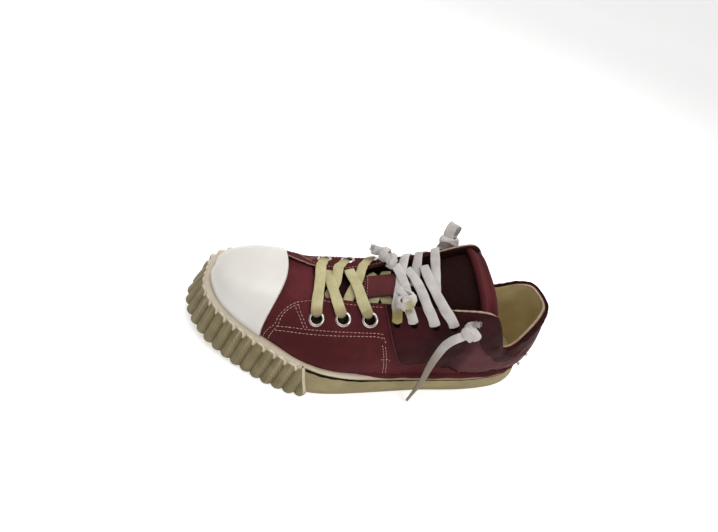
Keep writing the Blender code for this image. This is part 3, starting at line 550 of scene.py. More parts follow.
# ---------------------------------------------------------------- shader arithmetic
class Wire:
    """A shader socket that takes part in plain arithmetic."""

    def __init__(self, tree, socket):
        self.tree, self.socket = tree, socket

    def node(self, kind, inputs=None, out=0, **settings):
        """Any other node, with its inputs by name or number; gives back one of its outputs."""
        made = self.tree.nodes.new("ShaderNode" + kind)
        for key, value in settings.items():
            setattr(made, key, value)
        for key, value in (inputs or {}).items():
            if isinstance(value, Wire):
                self.tree.links.new(value.socket, made.inputs[key])
            else:
                made.inputs[key].default_value = value
        return Wire(self.tree, made.outputs[out])

    def math(self, operation, other=None, swap=False):
        terms = [t for t in ((other, self) if swap else (self, other)) if t is not None]
        return self.node("Math", dict(enumerate(terms)), operation=operation)

    def __add__(self, other):
        return self.math("ADD", other)

    def __radd__(self, other):
        return self.math("ADD", other, swap=True)

    def __sub__(self, other):
        return self.math("SUBTRACT", other)

    def __rsub__(self, other):
        return self.math("SUBTRACT", other, swap=True)

    def __mul__(self, other):
        return self.math("MULTIPLY", other)

    def __rmul__(self, other):
        return self.math("MULTIPLY", other, swap=True)

    def __abs__(self):
        return self.math("ABSOLUTE")

    def sin(self):
        return self.math("SINE")

    def between(self, low, high, start=0.0, end=1.0):
        """start below low, end above high, and a soft step in between."""
        return self.node("MapRange", {0: self, 1: low, 2: high, 3: start, 4: end},
                         interpolation_type="SMOOTHSTEP")

    def mix(self, a, b):
        """Colour a where this is 0, b where it is 1."""
        a, b = (x if isinstance(x, Wire) else (*x, 1.0) for x in (a, b))
        return self.node("Mix", {0: self, 6: a, 7: b}, out=2, data_type="RGBA")


FINISH = {}  # every material by its name


class Finish:
    """A material whose shader inputs come from plain arithmetic on its patterns."""

    def __init__(self, name, roughness, **constants):
        FINISH[name] = bpy.data.materials.new(name)
        FINISH[name].use_nodes = True
        tree = FINISH[name].node_tree
        self.shader = tree.nodes["Principled BSDF"]
        self.tree = tree
        self.start = Wire(tree, None)
        self.shader.inputs["Roughness"].default_value = roughness
        for key, value in constants.items():
            self.shader.inputs[key.replace("_", " ")].default_value = value
        self.place = self.start.node("TexCoord", out=3)

    def set(self, **inputs):
        for key, value in inputs.items():
            socket = self.shader.inputs[key.replace("_", " ")]
            if isinstance(value, Wire):
                self.tree.links.new(value.socket, socket)
            elif isinstance(value, tuple):
                socket.default_value = (*value, 1.0)
            else:
                socket.default_value = value

    def noise(self, size, detail=3.0, roughness=0.55, stretch=None):
        """Noise whose lumps are about size millimetres."""
        at = self.place
        if stretch:
            at = self.start.node("Mapping", {0: at, 3: stretch})
        inputs = {0: at, "Scale": 1 / MM / size, "Detail": detail, "Roughness": roughness}
        return self.start.node("TexNoise", inputs)

    def cells(self, size, feature="F1"):
        """Cells about size millimetres wide."""
        return self.start.node("TexVoronoi", {0: self.place, "Scale": 1 / MM / size}, feature=feature)

    def cloth(self):
        """Millimetres along and across the cloth."""
        at = self.start.node("Attribute", out=1, attribute_name="cloth")
        return at.node("SeparateXYZ", {0: at}), at.node("SeparateXYZ", {0: at}, out=1)

    def tint(self):
        """The share that each point of the mesh carries for its material."""
        return self.start.node("Attribute", out=2, attribute_name="tint")

    def height(self):
        """Millimetres above the floor."""
        return self.start.node("SeparateXYZ", {0: self.place}, out=2) * 1000.0

    def bump(self, height, depth, strength=1.0):
        """height from 0 to 1 stands depth millimetres tall."""
        made = self.start.node("Bump", {"Strength": strength, "Distance": depth * MM, "Height": height})
        self.tree.links.new(made.socket, self.shader.inputs["Normal"])


def weave(finish, pitch):
    """Plain weave: each thread goes over one and under the next."""
    along, across = finish.cloth()
    turn = np.pi / pitch
    over = (along * turn).sin() * (across * turn).sin()
    threads = abs((along * turn).sin()) * 0.5 + abs((across * turn).sin()) * 0.5
    return over * 0.35 + threads * 0.5 + 0.25


def canvas(name, deep, main, faded_and_highlight):
    """Woven cotton, paler with tint, for fading and for painted highlights, and darker below 0, for painted
    shade.
    """
    f = Finish(name, 0.86, Specular_IOR_Level=0.06)
    cloth = weave(f, 0.85)
    large, small = f.noise(28, 4), f.noise(1.6, 3)
    tone = large.between(0.35, 0.68) * 0.6 + small.between(0.3, 0.75) * 0.25 + cloth * 0.22
    # Tint above 0 pales the cloth, for fading and painted highlights; below 0 it paints shade.
    shown = f.tint().between(0.0, 1.0, 0.0, 0.55).mix(tone.mix(deep, main), faded_and_highlight)
    f.set(Base_Color=(0.0 - f.tint()).between(0.0, 1.0).mix(shown, (0.014, 0.004, 0.005)))
    f.bump(cloth * 0.7 + small * 0.3, 0.16, 0.55)


def leather():
    """Grained leather with scuffs, paler with tint, for worn patches and for painted highlights on edges and
    seams.
    """
    f = Finish("burgundy leather", 0.5, Specular_IOR_Level=0.03)
    grain = f.cells(0.75, "DISTANCE_TO_EDGE")
    large, fine, scuff = f.noise(34, 4), f.noise(2.2, 5, 0.65), f.noise(7, 6, 0.7, (1.0, 1.0, 2.4))
    wear = scuff.between(0.60, 0.74) * fine.between(0.42, 0.62)
    base = large.between(0.36, 0.66).mix((0.023, 0.0050, 0.0056), (0.044, 0.0098, 0.0112))
    base = (wear * 0.12).mix(base, (0.13, 0.045, 0.045))
    f.set(Base_Color=f.tint().between(0.0, 1.0).mix(base, (0.125, 0.044, 0.046)),
          Roughness=fine.between(0.3, 0.7, 0.50, 0.66) + wear * 0.15)
    f.bump(grain.between(0.0, 0.12) * 0.5 + fine * 0.5, 0.14, 0.5)


def suede():
    """Dark napped suede."""
    f = Finish("dark suede", 0.95, Specular_IOR_Level=0.04)
    nap, large = f.noise(0.5, 4, 0.8), f.noise(11, 4)
    tone = nap * 0.4 + large.between(0.35, 0.7) * 0.6
    f.set(Base_Color=tone.mix((0.012, 0.004, 0.004), (0.040, 0.013, 0.012)))
    f.bump(nap, 0.35, 0.7)


def pile():
    """Dark tufted pile."""
    f = Finish("dark pile", 0.97, Specular_IOR_Level=0.03)
    nap, tuft = f.noise(0.6, 3, 0.8), f.cells(1.3)
    f.set(Base_Color=(nap * 0.6 + tuft * 0.5).mix((0.008, 0.003, 0.003), (0.026, 0.010, 0.0095)))
    f.bump(nap * 0.5 + (1.0 - tuft) * 0.5, 0.7, 0.8)


def lining_cloth():
    """Knitted khaki cloth, dark where tint is 1."""
    f = Finish("khaki lining", 0.93, Specular_IOR_Level=0.1)
    knit, large, small = weave(f, 0.95), f.noise(30, 4), f.noise(1.1, 3, 0.7)
    tone = large.between(0.3, 0.7) * 0.6 + knit * 0.2 + small * 0.3
    shown = tone.mix((0.53, 0.435, 0.235), (0.76, 0.635, 0.365))
    f.set(Base_Color=f.tint().between(0.0, 1.0).mix(shown, (0.022, 0.008, 0.008)))
    f.bump(knit * 0.6 + small * 0.4, 0.2, 0.5)


def piping():
    """Frayed pale edging."""
    f = Finish("cream piping", 0.8, Specular_IOR_Level=0.3)
    f.set(Base_Color=f.noise(2.0, 4).between(0.3, 0.7).mix((0.29, 0.21, 0.145), (0.45, 0.35, 0.265)))
    f.bump(f.noise(0.5, 3), 0.12, 0.5)


def rubber(name, deep, main, light, roughness, streak):
    """Matt rubber with streaks along it, and grime near the floor."""
    f = Finish(name, roughness, Specular_IOR_Level=0.25)
    large, fine = f.noise(26, 5, 0.6), f.noise(1.1, 4, 0.6)
    lines = f.noise(1.5, 3, 0.6, (0.14, 0.14, 1.6))
    base = (large.between(0.32, 0.70) * 0.65 + lines.between(0.3, 0.7) * streak).mix(deep, main)
    base = (fine.between(0.58, 0.80) * 0.35).mix(base, light)
    base = f.tint().between(0.0, 1.0).mix(base, (0.225, 0.18, 0.105))
    grime = f.height().between(0.5, 7.0, 0.38, 0.0) * large.between(0.35, 0.62)
    f.set(Base_Color=grime.mix(base, (0.075, 0.062, 0.040)),
          Roughness=large.between(0.3, 0.7, roughness - 0.06, roughness + 0.10))
    f.bump(lines * 0.6 + fine * 0.4, 0.10, 0.5)


def ribbed_rubber():
    """Khaki rubber with fine hatching: tint paints highlights on crests and shade in grooves, and makes teeth
    cream.
    """
    f = Finish("ribbed rubber", 0.62, Specular_IOR_Level=0.25)
    along, up = f.cloth()
    hatch = ((along * 5.2) + (up * 1.5)).sin() * 0.5 + 0.5
    large, small = f.noise(14, 4), f.noise(0.9, 4, 0.65, (1.0, 1.0, 0.35))
    tone = large.between(0.32, 0.7) * 0.5 + small.between(0.3, 0.75) * 0.25 + hatch * 0.18
    base = tone.mix((0.150, 0.118, 0.050), (0.268, 0.216, 0.112))
    base = f.tint().between(0.0, 1.0, 0.0, 0.8).mix(base, (0.40, 0.345, 0.225))
    base = (0.0 - f.tint()).between(0.0, 1.0).mix(base, (0.060, 0.048, 0.022))
    base = (f.tint() - 1.1).between(0.0, 0.5).mix(base, (0.70, 0.635, 0.52))
    grime = f.height().between(0.0, 5.0, 0.45, 0.0) * large.between(0.3, 0.6)
    f.set(Base_Color=grime.mix(base, (0.055, 0.047, 0.034)))
    f.bump(hatch * 0.55 + small * 0.45, 0.16, 0.6)


def white_rubber():
    """Smooth white rubber, browner and darker where tint is 1, a painted shade at the cap's foot."""
    f = Finish("white rubber", 0.34, Specular_IOR_Level=0.5, Subsurface_Weight=0.04,
               Subsurface_Radius=(0.004, 0.003, 0.002))
    large, fine, scuff = f.noise(46, 3), f.noise(0.8, 4, 0.6), f.noise(5, 6, 0.75, (1.0, 0.5, 1.0))
    mark = scuff.between(0.64, 0.76)
    base = large.between(0.3, 0.7).mix((0.690, 0.660, 0.610), (0.760, 0.745, 0.715))
    base = (mark * 0.16).mix(base, (0.45, 0.38, 0.30))
    f.set(Base_Color=f.tint().between(0.0, 1.0, 0.0, 0.7).mix(base, (0.36, 0.315, 0.245)),
          Roughness=fine.between(0.3, 0.7, 0.30, 0.40) + mark * 0.15)
    f.bump(fine, 0.025, 0.4)


def metal():
    """Dulled nickel."""
    f = Finish("eyelet metal", 0.28, Metallic=1.0)
    large, fine = f.noise(4, 4), f.noise(0.6, 4, 0.7)
    dull = large.between(0.45, 0.65)
    f.set(Base_Color=dull.mix((0.56, 0.50, 0.47), (0.33, 0.27, 0.25)),
          Roughness=dull * 0.22 + fine * 0.16 + 0.16)
    f.bump(fine, 0.03, 0.4)


def lace(name, deep, main, stain, grime):
    """Flat woven lace, stained with tint, and darker below 0: grime on the loose ends, painted shade where it
    enters the holes.
    """
    f = Finish(name, 0.88, Specular_IOR_Level=0.12)
    along, across = f.cloth()
    ribs = abs(((along * 2.6) + abs(across) * 1.9).sin())
    cords = abs((across * 2.9).sin())
    large, small = f.noise(9, 4), f.noise(0.8, 3, 0.7)
    tone = large.between(0.3, 0.7) * 0.45 + ribs * 0.25 + cords * 0.28 + small * 0.2
    shown = f.tint().between(0.0, 1.0).mix(tone.mix(deep, main), stain)
    # Below 0 the lace darkens: grime on the loose ends, painted shade by the holes.
    f.set(Base_Color=(0.0 - f.tint()).between(0.0, 1.0).mix(shown, grime))
    f.bump(ribs * 0.5 + cords * 0.3 + small * 0.2, 0.25, 0.75)


def thread():
    """Faded sewing thread."""
    f = Finish("seam thread", 0.8, Sheen_Weight=0.1)
    f.set(Base_Color=f.noise(1.4, 3).between(0.3, 0.7).mix((0.25, 0.12, 0.10), (0.50, 0.32, 0.265)))
    f.bump(f.noise(0.3, 2), 0.1, 0.6)


def dark_line():
    """The near black of shadowed gaps."""
    f = Finish("dark line", 0.9, Specular_IOR_Level=0.03)
    f.set(Base_Color=f.noise(3.0, 3).between(0.35, 0.65).mix((0.004, 0.003, 0.002), (0.018, 0.012, 0.008)))


def floor_paint():
    """Pale, softly glowing floor."""
    f = Finish("pale floor", 0.9, Specular_IOR_Level=0.1, Emission_Color=(1, 1, 1, 1), Emission_Strength=0.42)
    f.set(Base_Color=f.noise(60, 3).between(0.3, 0.7).mix((0.84, 0.84, 0.835), (0.87, 0.87, 0.865)))


def make_finishes():
    """All materials. Colours run from the deepest to the palest, then stains."""
    canvas("burgundy canvas", (0.052, 0.0105, 0.0125), (0.098, 0.019, 0.022), (0.19, 0.075, 0.07))
    canvas("tongue canvas", (0.060, 0.012, 0.015), (0.118, 0.024, 0.029), (0.24, 0.10, 0.09))
    leather()
    suede()
    pile()
    lining_cloth()
    piping()
    rubber("khaki rubber", (0.230, 0.184, 0.086), (0.345, 0.285, 0.150), (0.42, 0.36, 0.22), 0.58, 0.35)
    rubber("cream rubber", (0.52, 0.43, 0.32), (0.66, 0.585, 0.47), (0.74, 0.69, 0.60), 0.45, 0.25)
    ribbed_rubber()
    white_rubber()
    metal()
    lace("cream lace", (0.33, 0.285, 0.14), (0.56, 0.505, 0.295), (0.20, 0.15, 0.055), (0.17, 0.11, 0.06))
    lace("white lace", (0.36, 0.335, 0.32), (0.60, 0.565, 0.545), (0.30, 0.25, 0.075), (0.235, 0.20, 0.165))
    thread()
    dark_line()
    floor_paint()


make_finishes()


# ---------------------------------------------------------------- sole
def round_sole(count):
    """u evenly round the sole, with x there."""
    u = np.linspace(0, ROUND, count + 1)[:-1]
    return u, outline(u)[0][:, 0]


def build_sole_side():
    """The sole's side, turned under at its foot and in at its top."""
    u, x = round_sole(560)
    low, high = table(x, SOLE_BOTTOM), table(x, BAND_TOP) - table(x, BAND_HEIGHT) - GAP
    inset = inset_at(u, x, BAND_INSET)
    rings = []
    for inward, up in ((3.2, 0.0), (1.4, 0.05), (0.5, 0.45), (0.1, 1.2)):
        rings.append(ring(u, inward + 0 * u, low + up))
    for h in np.linspace(0, 1, 9)[1:]:
        z = low + 1.2 + (high - low - 1.2) * h
        swell = 0.5 * np.sin(np.pi * h)
        rings.append(ring(u, inset * (z - low) / (high - low) - swell, z))
    rings.append(ring(u, inset + 0.4, high + 0.15))
    rings.append(ring(u, inset + 2.5, high + 0.2))
    add_grid("outsole_side", np.stack(rings, 1), "khaki rubber", "khaki_rubber", round_rows=True,
             nodes=("outsole",))


def build_tread():
    """The sole's underside with its wavy cross grooves."""
    xs = np.linspace(1.0, 299.0, 597)
    across = np.linspace(-1, 1, 41)
    one, two = (outline(u_at_x(xs, outer), 3.0 + 0 * xs)[0] for outer in (True, False))
    share = 0.5 + 0.5 * across
    xy = one[:, None] * (1 - share)[:, None] + two[:, None] * share[:, None]
    z = table(xy[..., 0], SOLE_BOTTOM)
    wave = 1.6 * np.sin(xy[..., 1] / 5.5)
    groove = np.zeros_like(z)
    for start, end in ((14, 74), (126, 250)):
        for at in range(start, end, 12):
            outside = np.clip((np.abs(xy[..., 0] + wave - at) - 2.2) / 0.22, -40, 40)
            groove = np.maximum(groove, 1 / (1 + np.exp(outside)))
    rim = ramp((1 - np.abs(across)) * 18)
    z = z + 0.05 + 1.8 * groove * rim
    grid = np.concatenate([xy, z[..., None]], -1)[:, ::-1]
    add_grid("outsole_tread", grid, "khaki rubber", "khaki_rubber")


def toe_wall(u, h, off, flare=1.0):
    """The toe's side at height share h, from the sole's bottom to the band's top, moved out by off."""
    off = off + flare * (1.4 + 2.2 * h) * dome((u - 17.0) / 1.7)
    x = outline(u)[0][..., 0]
    low, top = table(x, SOLE_BOTTOM), table(x, BAND_TOP)
    shoulder = (top - table(x, BAND_HEIGHT) - low) / (top - low)
    p, _ = outline(u, inset_at(u, x, BAND_INSET) * np.minimum(h / shoulder, 1) - off)
    return np.concatenate([p, np.maximum(low + (top - low) * h, 0.15)[..., None]], -1)


def bumper_end(h, outer):
    """x where the toe wrap ends, at height share h."""
    return BUMPER_START_X + (-4.5 + 7.0 * h if outer else -2.0 + 4.0 * h)


class ToeSpan:
    """The run of the sole's side that the toe wrap covers, followed by length."""

    def __init__(self):
        reach = BUMPER_START_X - 6
        self.u = np.linspace(u_at_x(reach, True), u_at_x(reach, False), 4000)
        line = outline(self.u)[0]
        self.run = running(line)
        self.outer, self.x = self.u < U_TOE, line[:, 0]
        self.turn = np.linspace(0, 1, int(self.run[-1] / RIB_PITCH * 20))

    def ends(self, h, short=0.0):
        """Lengths at which the wrap begins and ends at height share h, each drawn in by short."""
        first = np.interp(bumper_end(h, True) + short, self.x[self.outer], self.run[self.outer])
        last = np.interp(-bumper_end(h, False) - short, -self.x[~self.outer], self.run[~self.outer])
        return first, last, first + (last - first) * self.turn

    def wall(self, at, h, off, flare=1.0):
        return toe_wall(np.interp(at, self.run, self.u), h, off, flare)


# The toe wrap from its foot to the tips of its teeth: share of height, swell, and how far inward.
WRAP_PROFILE = (
    (-0.01, 0.20, 0), (0.0, 0.62, 0), (0.015, 0.84, 0), (0.05, 0.96, 0), (0.12, 1.0, 0), (0.24, 1.0, 0),
    (0.38, 1.0, 0), (0.52, 1.0, 0), (0.66, 1.0, 0), (0.78, 0.96, 0), (0.83, 0.92, 0), (0.87, 0.88, 0),
    (0.90, 0.82, 0), (0.93, 0.74, 0), (0.97, 0.55, 0), (0.99, 0.30, 1.0), (1.0, 0.0, 2.4), (0.995, -0.2, 3.4),
    (0.95, -0.4, 4.2),
)
# The cream ledge behind the teeth: share of height, how far out, and its flare at the tip.
LEDGE_PROFILE = (
    (0.72, 0.2, 0.9), (0.77, 0.55, 0.8), (0.82, 0.85, 0.7), (0.87, 1.1, 0.5), (0.915, 1.35, 0.4),
    (0.945, 1.4, 0.3), (0.968, 1.2, 0.3), (0.985, 0.8, 0.3), (0.995, 0.35, 0.2), (0.99, -0.3, 0.1),
    (0.97, -1.0, 0),
)


def build_toe_wrap(span):
    """Ribbed toe wrap: a row of slanting lobes whose tops curl in over the cream band."""
    rows, cloth, tint = [], [], []
    for h, swell, inward in WRAP_PROFILE:
        first, last, at = span.ends(h)
        phase = (at + RIB_SLANT * h) / RIB_PITCH
        place = phase % 1.0
        lobe = np.abs(np.sin(np.pi * phase)) ** 0.62 * (1 + 0.05 * np.sin(np.floor(phase) * 2.3))
        fold = eased(np.minimum(at - first, last - at) / 1.6)
        reach = h * (0.850 + 0.118 * lobe) if h > 0 else h + 0 * lobe
        full = 1.5 + 3.1 * lobe * min(1.0, 0.55 + 1.4 * (1 - h) + 0.3)
        rows.append(span.wall(at, reach, full * swell * (0.35 + 0.65 * fold) - inward))
        cloth.append(np.column_stack([phase * RIB_PITCH, 40 * h + 0 * at]))
        # Painted highlight along each rib's crest and painted shade in its grooves; the teeth are cream.
        crest_highlight = dome((place - 0.36) / 0.10) * (0.45 + 0.25 * np.sin(np.floor(phase) * 4.7))
        groove = dome(np.minimum(place, 1 - place) / 0.11)
        tooth = ramp((h - 0.83 - 0.10 * ramp(1 - 1.3 * groove)) / 0.04)
        tint.append((crest_highlight * (0.65 + 0.5 * h) - 0.5 * groove) * (1 - tooth) + 1.7 * tooth)
    add_grid("toe_wrap", np.stack(rows, 1), "ribbed rubber", "khaki_rubber", cloth=np.stack(cloth, 1),
             tint=np.stack(tint, 1), nodes=("toe_bumper",))


def build_toe_ledge(span):
    """Smooth cream ledge that shows between the teeth."""
    rows = []
    for h, out, flare in LEDGE_PROFILE:
        first, last, at = span.ends(h, 1.5)
        fold = eased(np.minimum(at - first, last - at) / 3.0)
        off = out + 0.10 * np.sin(at * 0.9)
        rows.append(span.wall(at, h + 0 * at, off * fold + (1 - fold) * min(out, 0.0), flare))
    add_grid("toe_ledge", np.stack(rows, 1), "cream rubber", "cream_rubber")


def build_toe_wrap_ends():
    """Cream flaps that close the toe wrap's two ends."""
    ends = Bunch()
    h = np.linspace(0.0, 0.985, 14)
    for outer in (True, False):
        tuck, at, back = (np.array([u_at_x(bumper_end(a, outer) + ahead, outer) for a in h])
                          for ahead in (1.0, 0.0, -1.9))
        a, b = toe_wall(at, h, 2.6), toe_wall(back, h, 0.1)
        mid = 0.5 * (a + b) + (a - b) * 0.22 + (0, 0.5 if outer else -0.5, 0)
        grid = np.stack([toe_wall(tuck, h, 1.2), a, mid, b], 1)
        if outer:
            grid = grid[:, ::-1]
        ends.add(grid, [grid_faces(*grid.shape[:2])], grid_cloth(grid))
    ends.piece("toe_wrap_ends", "cream rubber", "cream_rubber")


# The band across its lip, as inset and share of its height, from under the lip to its top.
BAND_PROFILE = ((2.0, -0.3), (0.0, 0.0), (-0.35, 0.25), (-0.55, 0.6), (-0.35, 0.88), (0.25, 1.0), (0.9, 1.03),
                (1.8, 1.0))


def build_band():
    """Cream band round the foot of the upper, with its rolled lip and its ledge inward."""
    u, x = round_sole(560)
    top, tall = table(x, BAND_TOP), table(x, BAND_HEIGHT)
    low = top - tall
    inset, foot = inset_at(u, x, BAND_INSET), inset_at(u, x, FOOT_INSET)
    front = ramp((x - 190) / 40)
    wobble = 0.18 * np.sin(u * 3.1) + 0.12 * np.sin(u * 7.3 + 1)
    rings = [ring(u, inset + i + wobble * 0.5, low + tall * h + wobble * 0.3) for i, h in BAND_PROFILE]
    skirt = ramp((x - 203) / 8)
    rings[0] = ring(u, inset + 2.0 - 2.2 * skirt, low - tall * (0.3 + 0.45 * skirt))
    for share in np.linspace(0.35, 1.0, 4):
        i = inset + 1.8 + (foot + 1.2 - inset - 1.8) * share
        rings.append(ring(u, i, top + (0.05 - 0.5 * share) * front - 0.25 * share))
    # The band turns darker and browner towards the heel.
    darker_to_heel = np.broadcast_to((0.9 * ramp((168 - x) / 45))[:, None], (len(u), len(rings)))
    add_grid("foot_band", np.stack(rings, 1), "cream rubber", "cream_rubber", round_rows=True,
             nodes=("foxing_band",), tint=darker_to_heel)


def rear_span(reach, count):
    """u from x = reach on the inner side round the heel to the same x on the outer side, with x there."""
    u = np.linspace(u_at_x(reach, False) - ROUND, u_at_x(reach, True), count)
    return u, outline(u)[0][:, 0]


def build_dark_line():
    """The dark line of painted shadow under the band, from one end of the toe wrap round the heel to the
    other.
    """
    u, x = rear_span(BUMPER_START_X - 1, 520)
    wide = table(x, ((-5, 60, 110, 140, 160, 205), (0.7, 0.9, 1.3, 2.0, 2.8, 3.4)))
    wide = wide * (1 + 0.2 * np.sin(u * 5.1) * np.sin(u * 11.3))
    tall = table(x, BAND_TOP) - table(x, BAND_HEIGHT) - table(x, SOLE_BOTTOM)
    rings = []
    for share, off in ((1.0, 0.15), (0.5, 0.38), (0.0, 0.42)):
        rings.append(sole_side(u, 1.0 + (0.2 - wide * share) / tall, off))
    add_grid("dark_line_under_band", np.stack(rings, 1), "dark line", "khaki_rubber")


# The roll's outline: how far it leans out towards the band, and its lift.
ROLL_PROFILE = ((-0.25, 3.0), (0.05, 2.2), (0.40, 1.5), (0.75, 0.8), (0.98, -0.1), (1.06, -1.0), (1.0, -1.7),
                (0.8, -1.9))


def build_foot_roll():
    """The canvas where it bulges over the band's top along the rear of the shoe."""
    u, x = rear_span(172, 420)
    full = soft_step((168 - x) / 32) * (1 + 0.12 * np.sin(u * 6.1) * np.sin(u * 2.3))
    top, foot, band = table(x, BAND_TOP), inset_at(u, x, FOOT_INSET), inset_at(u, x, BAND_INSET)
    rows = []
    for share, lift in ROLL_PROFILE[::-1]:
        inset = foot + (band - 0.4 - foot) * share * full
        rows.append(ring(u, inset, top + 0.3 + lift * full * (1 if lift > 0 else 0.9)))
    add_grid("canvas_foot_roll", np.stack(rows, 1), "burgundy canvas", "burgundy_canvas")


# ---------------------------------------------------------------- upper
def cap_reach(s):
    """v where section s meets the toe cap's rear edge."""
    v = np.linspace(0, 1, 900)
    line = upper_base(s + 0 * v, v)
    behind = np.nonzero(line[:, 0] < CAP_EDGE_X + CAP_EDGE_CURVE * (line[:, 1] + 1.0) ** 2)[0]
    return v[behind[0]] if len(behind) else 1.0


def build_cap():
    """White rubber cap over the toe, thinning to its rounded rear edge."""
    wide = np.linspace(-6, 6, 1201)
    inside = wide[np.array([cap_reach(s) for s in wide]) > 0.02]
    s = np.linspace(inside[0], inside[-1], 181)
    top = np.array([cap_reach(a) for a in s])[:, None]
    t = np.concatenate([np.linspace(0, 0.9, 52), 1 - 0.1 * np.linspace(1, 0, 14)[1:] ** 2])
    v = -0.015 + (top + 0.015) * t
    clean = upper(s[:, None], v)
    off = 0.35 + (CAP_SKIN + 0.3) * eased(apart(clean, clean[:, -1:]) / 1.3)
    grid = upper(s[:, None], v, off)
    rise = grid[..., 2] - table(grid[..., 0], BAND_TOP)
    # tint paints shade on the cap near its foot, fading with height above the band.
    add_grid("toe_cap_rubber", grid, "white rubber", "white_rubber",
             tint=0.8 * np.exp(-(np.clip(rise, 0, 60) / 8.5) ** 1.2), nodes=("toe_cap",))


def section_spread(count, low=0.0, high=TURN):
    """Sections spread evenly along the shoe between two sections."""
    s = np.linspace(low, high, 3001)
    run = sum(np.linalg.norm(np.diff(upper_base(s, v + 0 * s), axis=0), axis=1) for v in (0.0, 0.4, 1.0))
    run = np.concatenate([[0], (run + 0.1).cumsum()])
    return np.interp(np.linspace(0, run[-1], count), run, s)


def hole_frame(outer, hole, off=0.0):
    """A hole's middle on the worn upper, the direction straight out, and the direction up the upper."""
    s, v = find_on_upper(*HOLES[hole], outer)
    point = worn(s, v, off)
    out = unit(worn(s, v, 1.0) - worn(s, v))
    rise = worn(s, v + 0.01) - worn(s, v)
    return point, out, unit(rise - out * (rise @ out))


def punch(target, holes, radius, sides=(True, False)):
    """Cut round holes through a closed shell."""
    pins = Bunch()
    for outer in sides:
        for hole in holes:
            point, out, _ = hole_frame(outer, hole)
            pins.add_rings(round_rings(point + out * np.linspace(-7, 7, 3)[:, None], radius, 24))
    mesh = bpy.data.meshes.new("pins")
    mesh.from_pydata(to_frame(np.concatenate(pins.points)).tolist(), [],
                     [tuple(face) for block in pins.faces for face in block])
    cutter = bpy.data.objects.new("pins", mesh)
    bpy.context.scene.collection.objects.link(cutter)
    change = target.modifiers.new("holes", "BOOLEAN")
    change.object = cutter
    change.solver = "EXACT"
    bpy.context.view_layer.update()
    done = bpy.data.meshes.new_from_object(target.evaluated_get(bpy.context.evaluated_depsgraph_get()))
    target.modifiers.clear()
    target.data = done
    bpy.data.objects.remove(cutter)


def build_canvas():
    """The canvas shell from under the band up over the top edge and down to the lining."""
    s = section_spread(521)[:-1]
    v = np.concatenate([np.linspace(-0.05, 0.95, 40), [0.97, 0.985, 0.995]])
    outer = worn(s[:, None], v[None])
    edge = []
    tall = 0.5 * (1 - np.exp(-(np.minimum(s, TURN - s) / 3.4) ** 4))[:, None, None]
    for a in np.radians(np.linspace(-60, 60, 5)):
        rim = worn(s[:, None], np.array([[1.0]]), -0.5 + 0.5 * np.sin(-a))
        edge.append(rim + np.array([0, 0, 1.0]) * tall * np.cos(a))
    inner = worn(s[:, None], np.array([0.995, 0.96, 0.9, 0.75, 0.5, 0.25, 0.0, -0.05])[None], -1.0)
    grid = np.concatenate([outer, *edge, inner], 1)
    made = add_grid("canvas_upper", grid, "burgundy canvas", "burgundy_canvas", round_rows=True,
                    round_columns=True, nodes=("upper",), tint=np.zeros(grid.shape[:2]))
    punch(made, METAL, METAL_HOLE)
    punch(made, PUNCHED, PUNCHED_HOLE)


# The quarter's front edge as shares of height and sections, by whether it is on the outer side. On the
# inner side the sections count back from TURN.
ARC = {True: ((0, 0.27, 0.41, 0.55, 0.68, 0.77, 0.86, 0.92, 0.955, 1.0),
              (3.36, 3.30, 3.26, 3.00, 2.74, 2.62, 2.75, 3.20, 3.75, 4.35)),
       False: ((0, 0.27, 0.41, 0.55, 0.66, 0.79, 0.85, 0.90, 0.965, 1.0),
               (3.36, 3.26, 3.05, 2.40, 1.85, 1.20, 1.24, 1.46, 2.21, 3.28))}


def build_quarter(outer):
    """One quarter: a second layer of canvas from its curved front edge back to the rear leather."""
    v = np.unique(np.concatenate([np.linspace(-0.02, 1, 52), 1 - 0.02 * np.linspace(0, 1, 5)]))
    first = np.interp(v, *ARC[outer])
    last = np.array([seam_section(min(max(a, 0), 1), True) for a in v]) + 0.25
    t = np.unique(np.concatenate([np.linspace(0, 1, 110), 0.03 * np.linspace(0, 1, 8)]))
    s = first + (last - first) * t[:, None]
    if not outer:
        s = TURN - s
    flat = worn(s, v)
    front, back, rim = (apart(flat, edge) for edge in (flat[:1], flat[-1:], flat[:, -1:]))
    off = 0.05 + QUARTER * eased(front / 0.6) * eased(back / 3.0 + 0.15) * (0.5 + 0.5 * eased(rim / 0.8))
    curl = 0 * front if outer else 2.3 * dome(front / 5.5) * ramp((v - 0.62) / 0.2)
    under = worn(s, v, 0.02 + np.clip(curl - 0.25, 0, 9))
    grid = np.concatenate([worn(s, v, off + curl), under[:, ::-1]], 1)
    # Painted highlight along each quarter's front edge.
    tint = np.concatenate([0.35 * dome(front / 0.9), 0 * front], 1)
    if not outer:
        grid, tint = grid[::-1], tint[::-1]
    name = "quarter_outer" if outer else "quarter_inner"
    made = add_tube(name, grid, "burgundy canvas", "burgundy_canvas", tint=tint)
    punch(made, METAL, METAL_HOLE, (outer,))
    return s[0], v, curl[0]


def build_quarters():
    """Both quarters, and the raw edge where the inner one curls away."""
    build_quarter(True)
    s, v, curl = build_quarter(False)
    edge = Bunch()
    for lift, radius in ((QUARTER * 0.6, 0.34), (-0.1, 0.26)):
        edge.add_rings(round_rings(smooth_line(worn(s, v, curl + lift)[v > 0.5], 0.7), radius, 7))
    edge.piece("quarter_inner_raw_edge", "seam thread", "cream_lace")


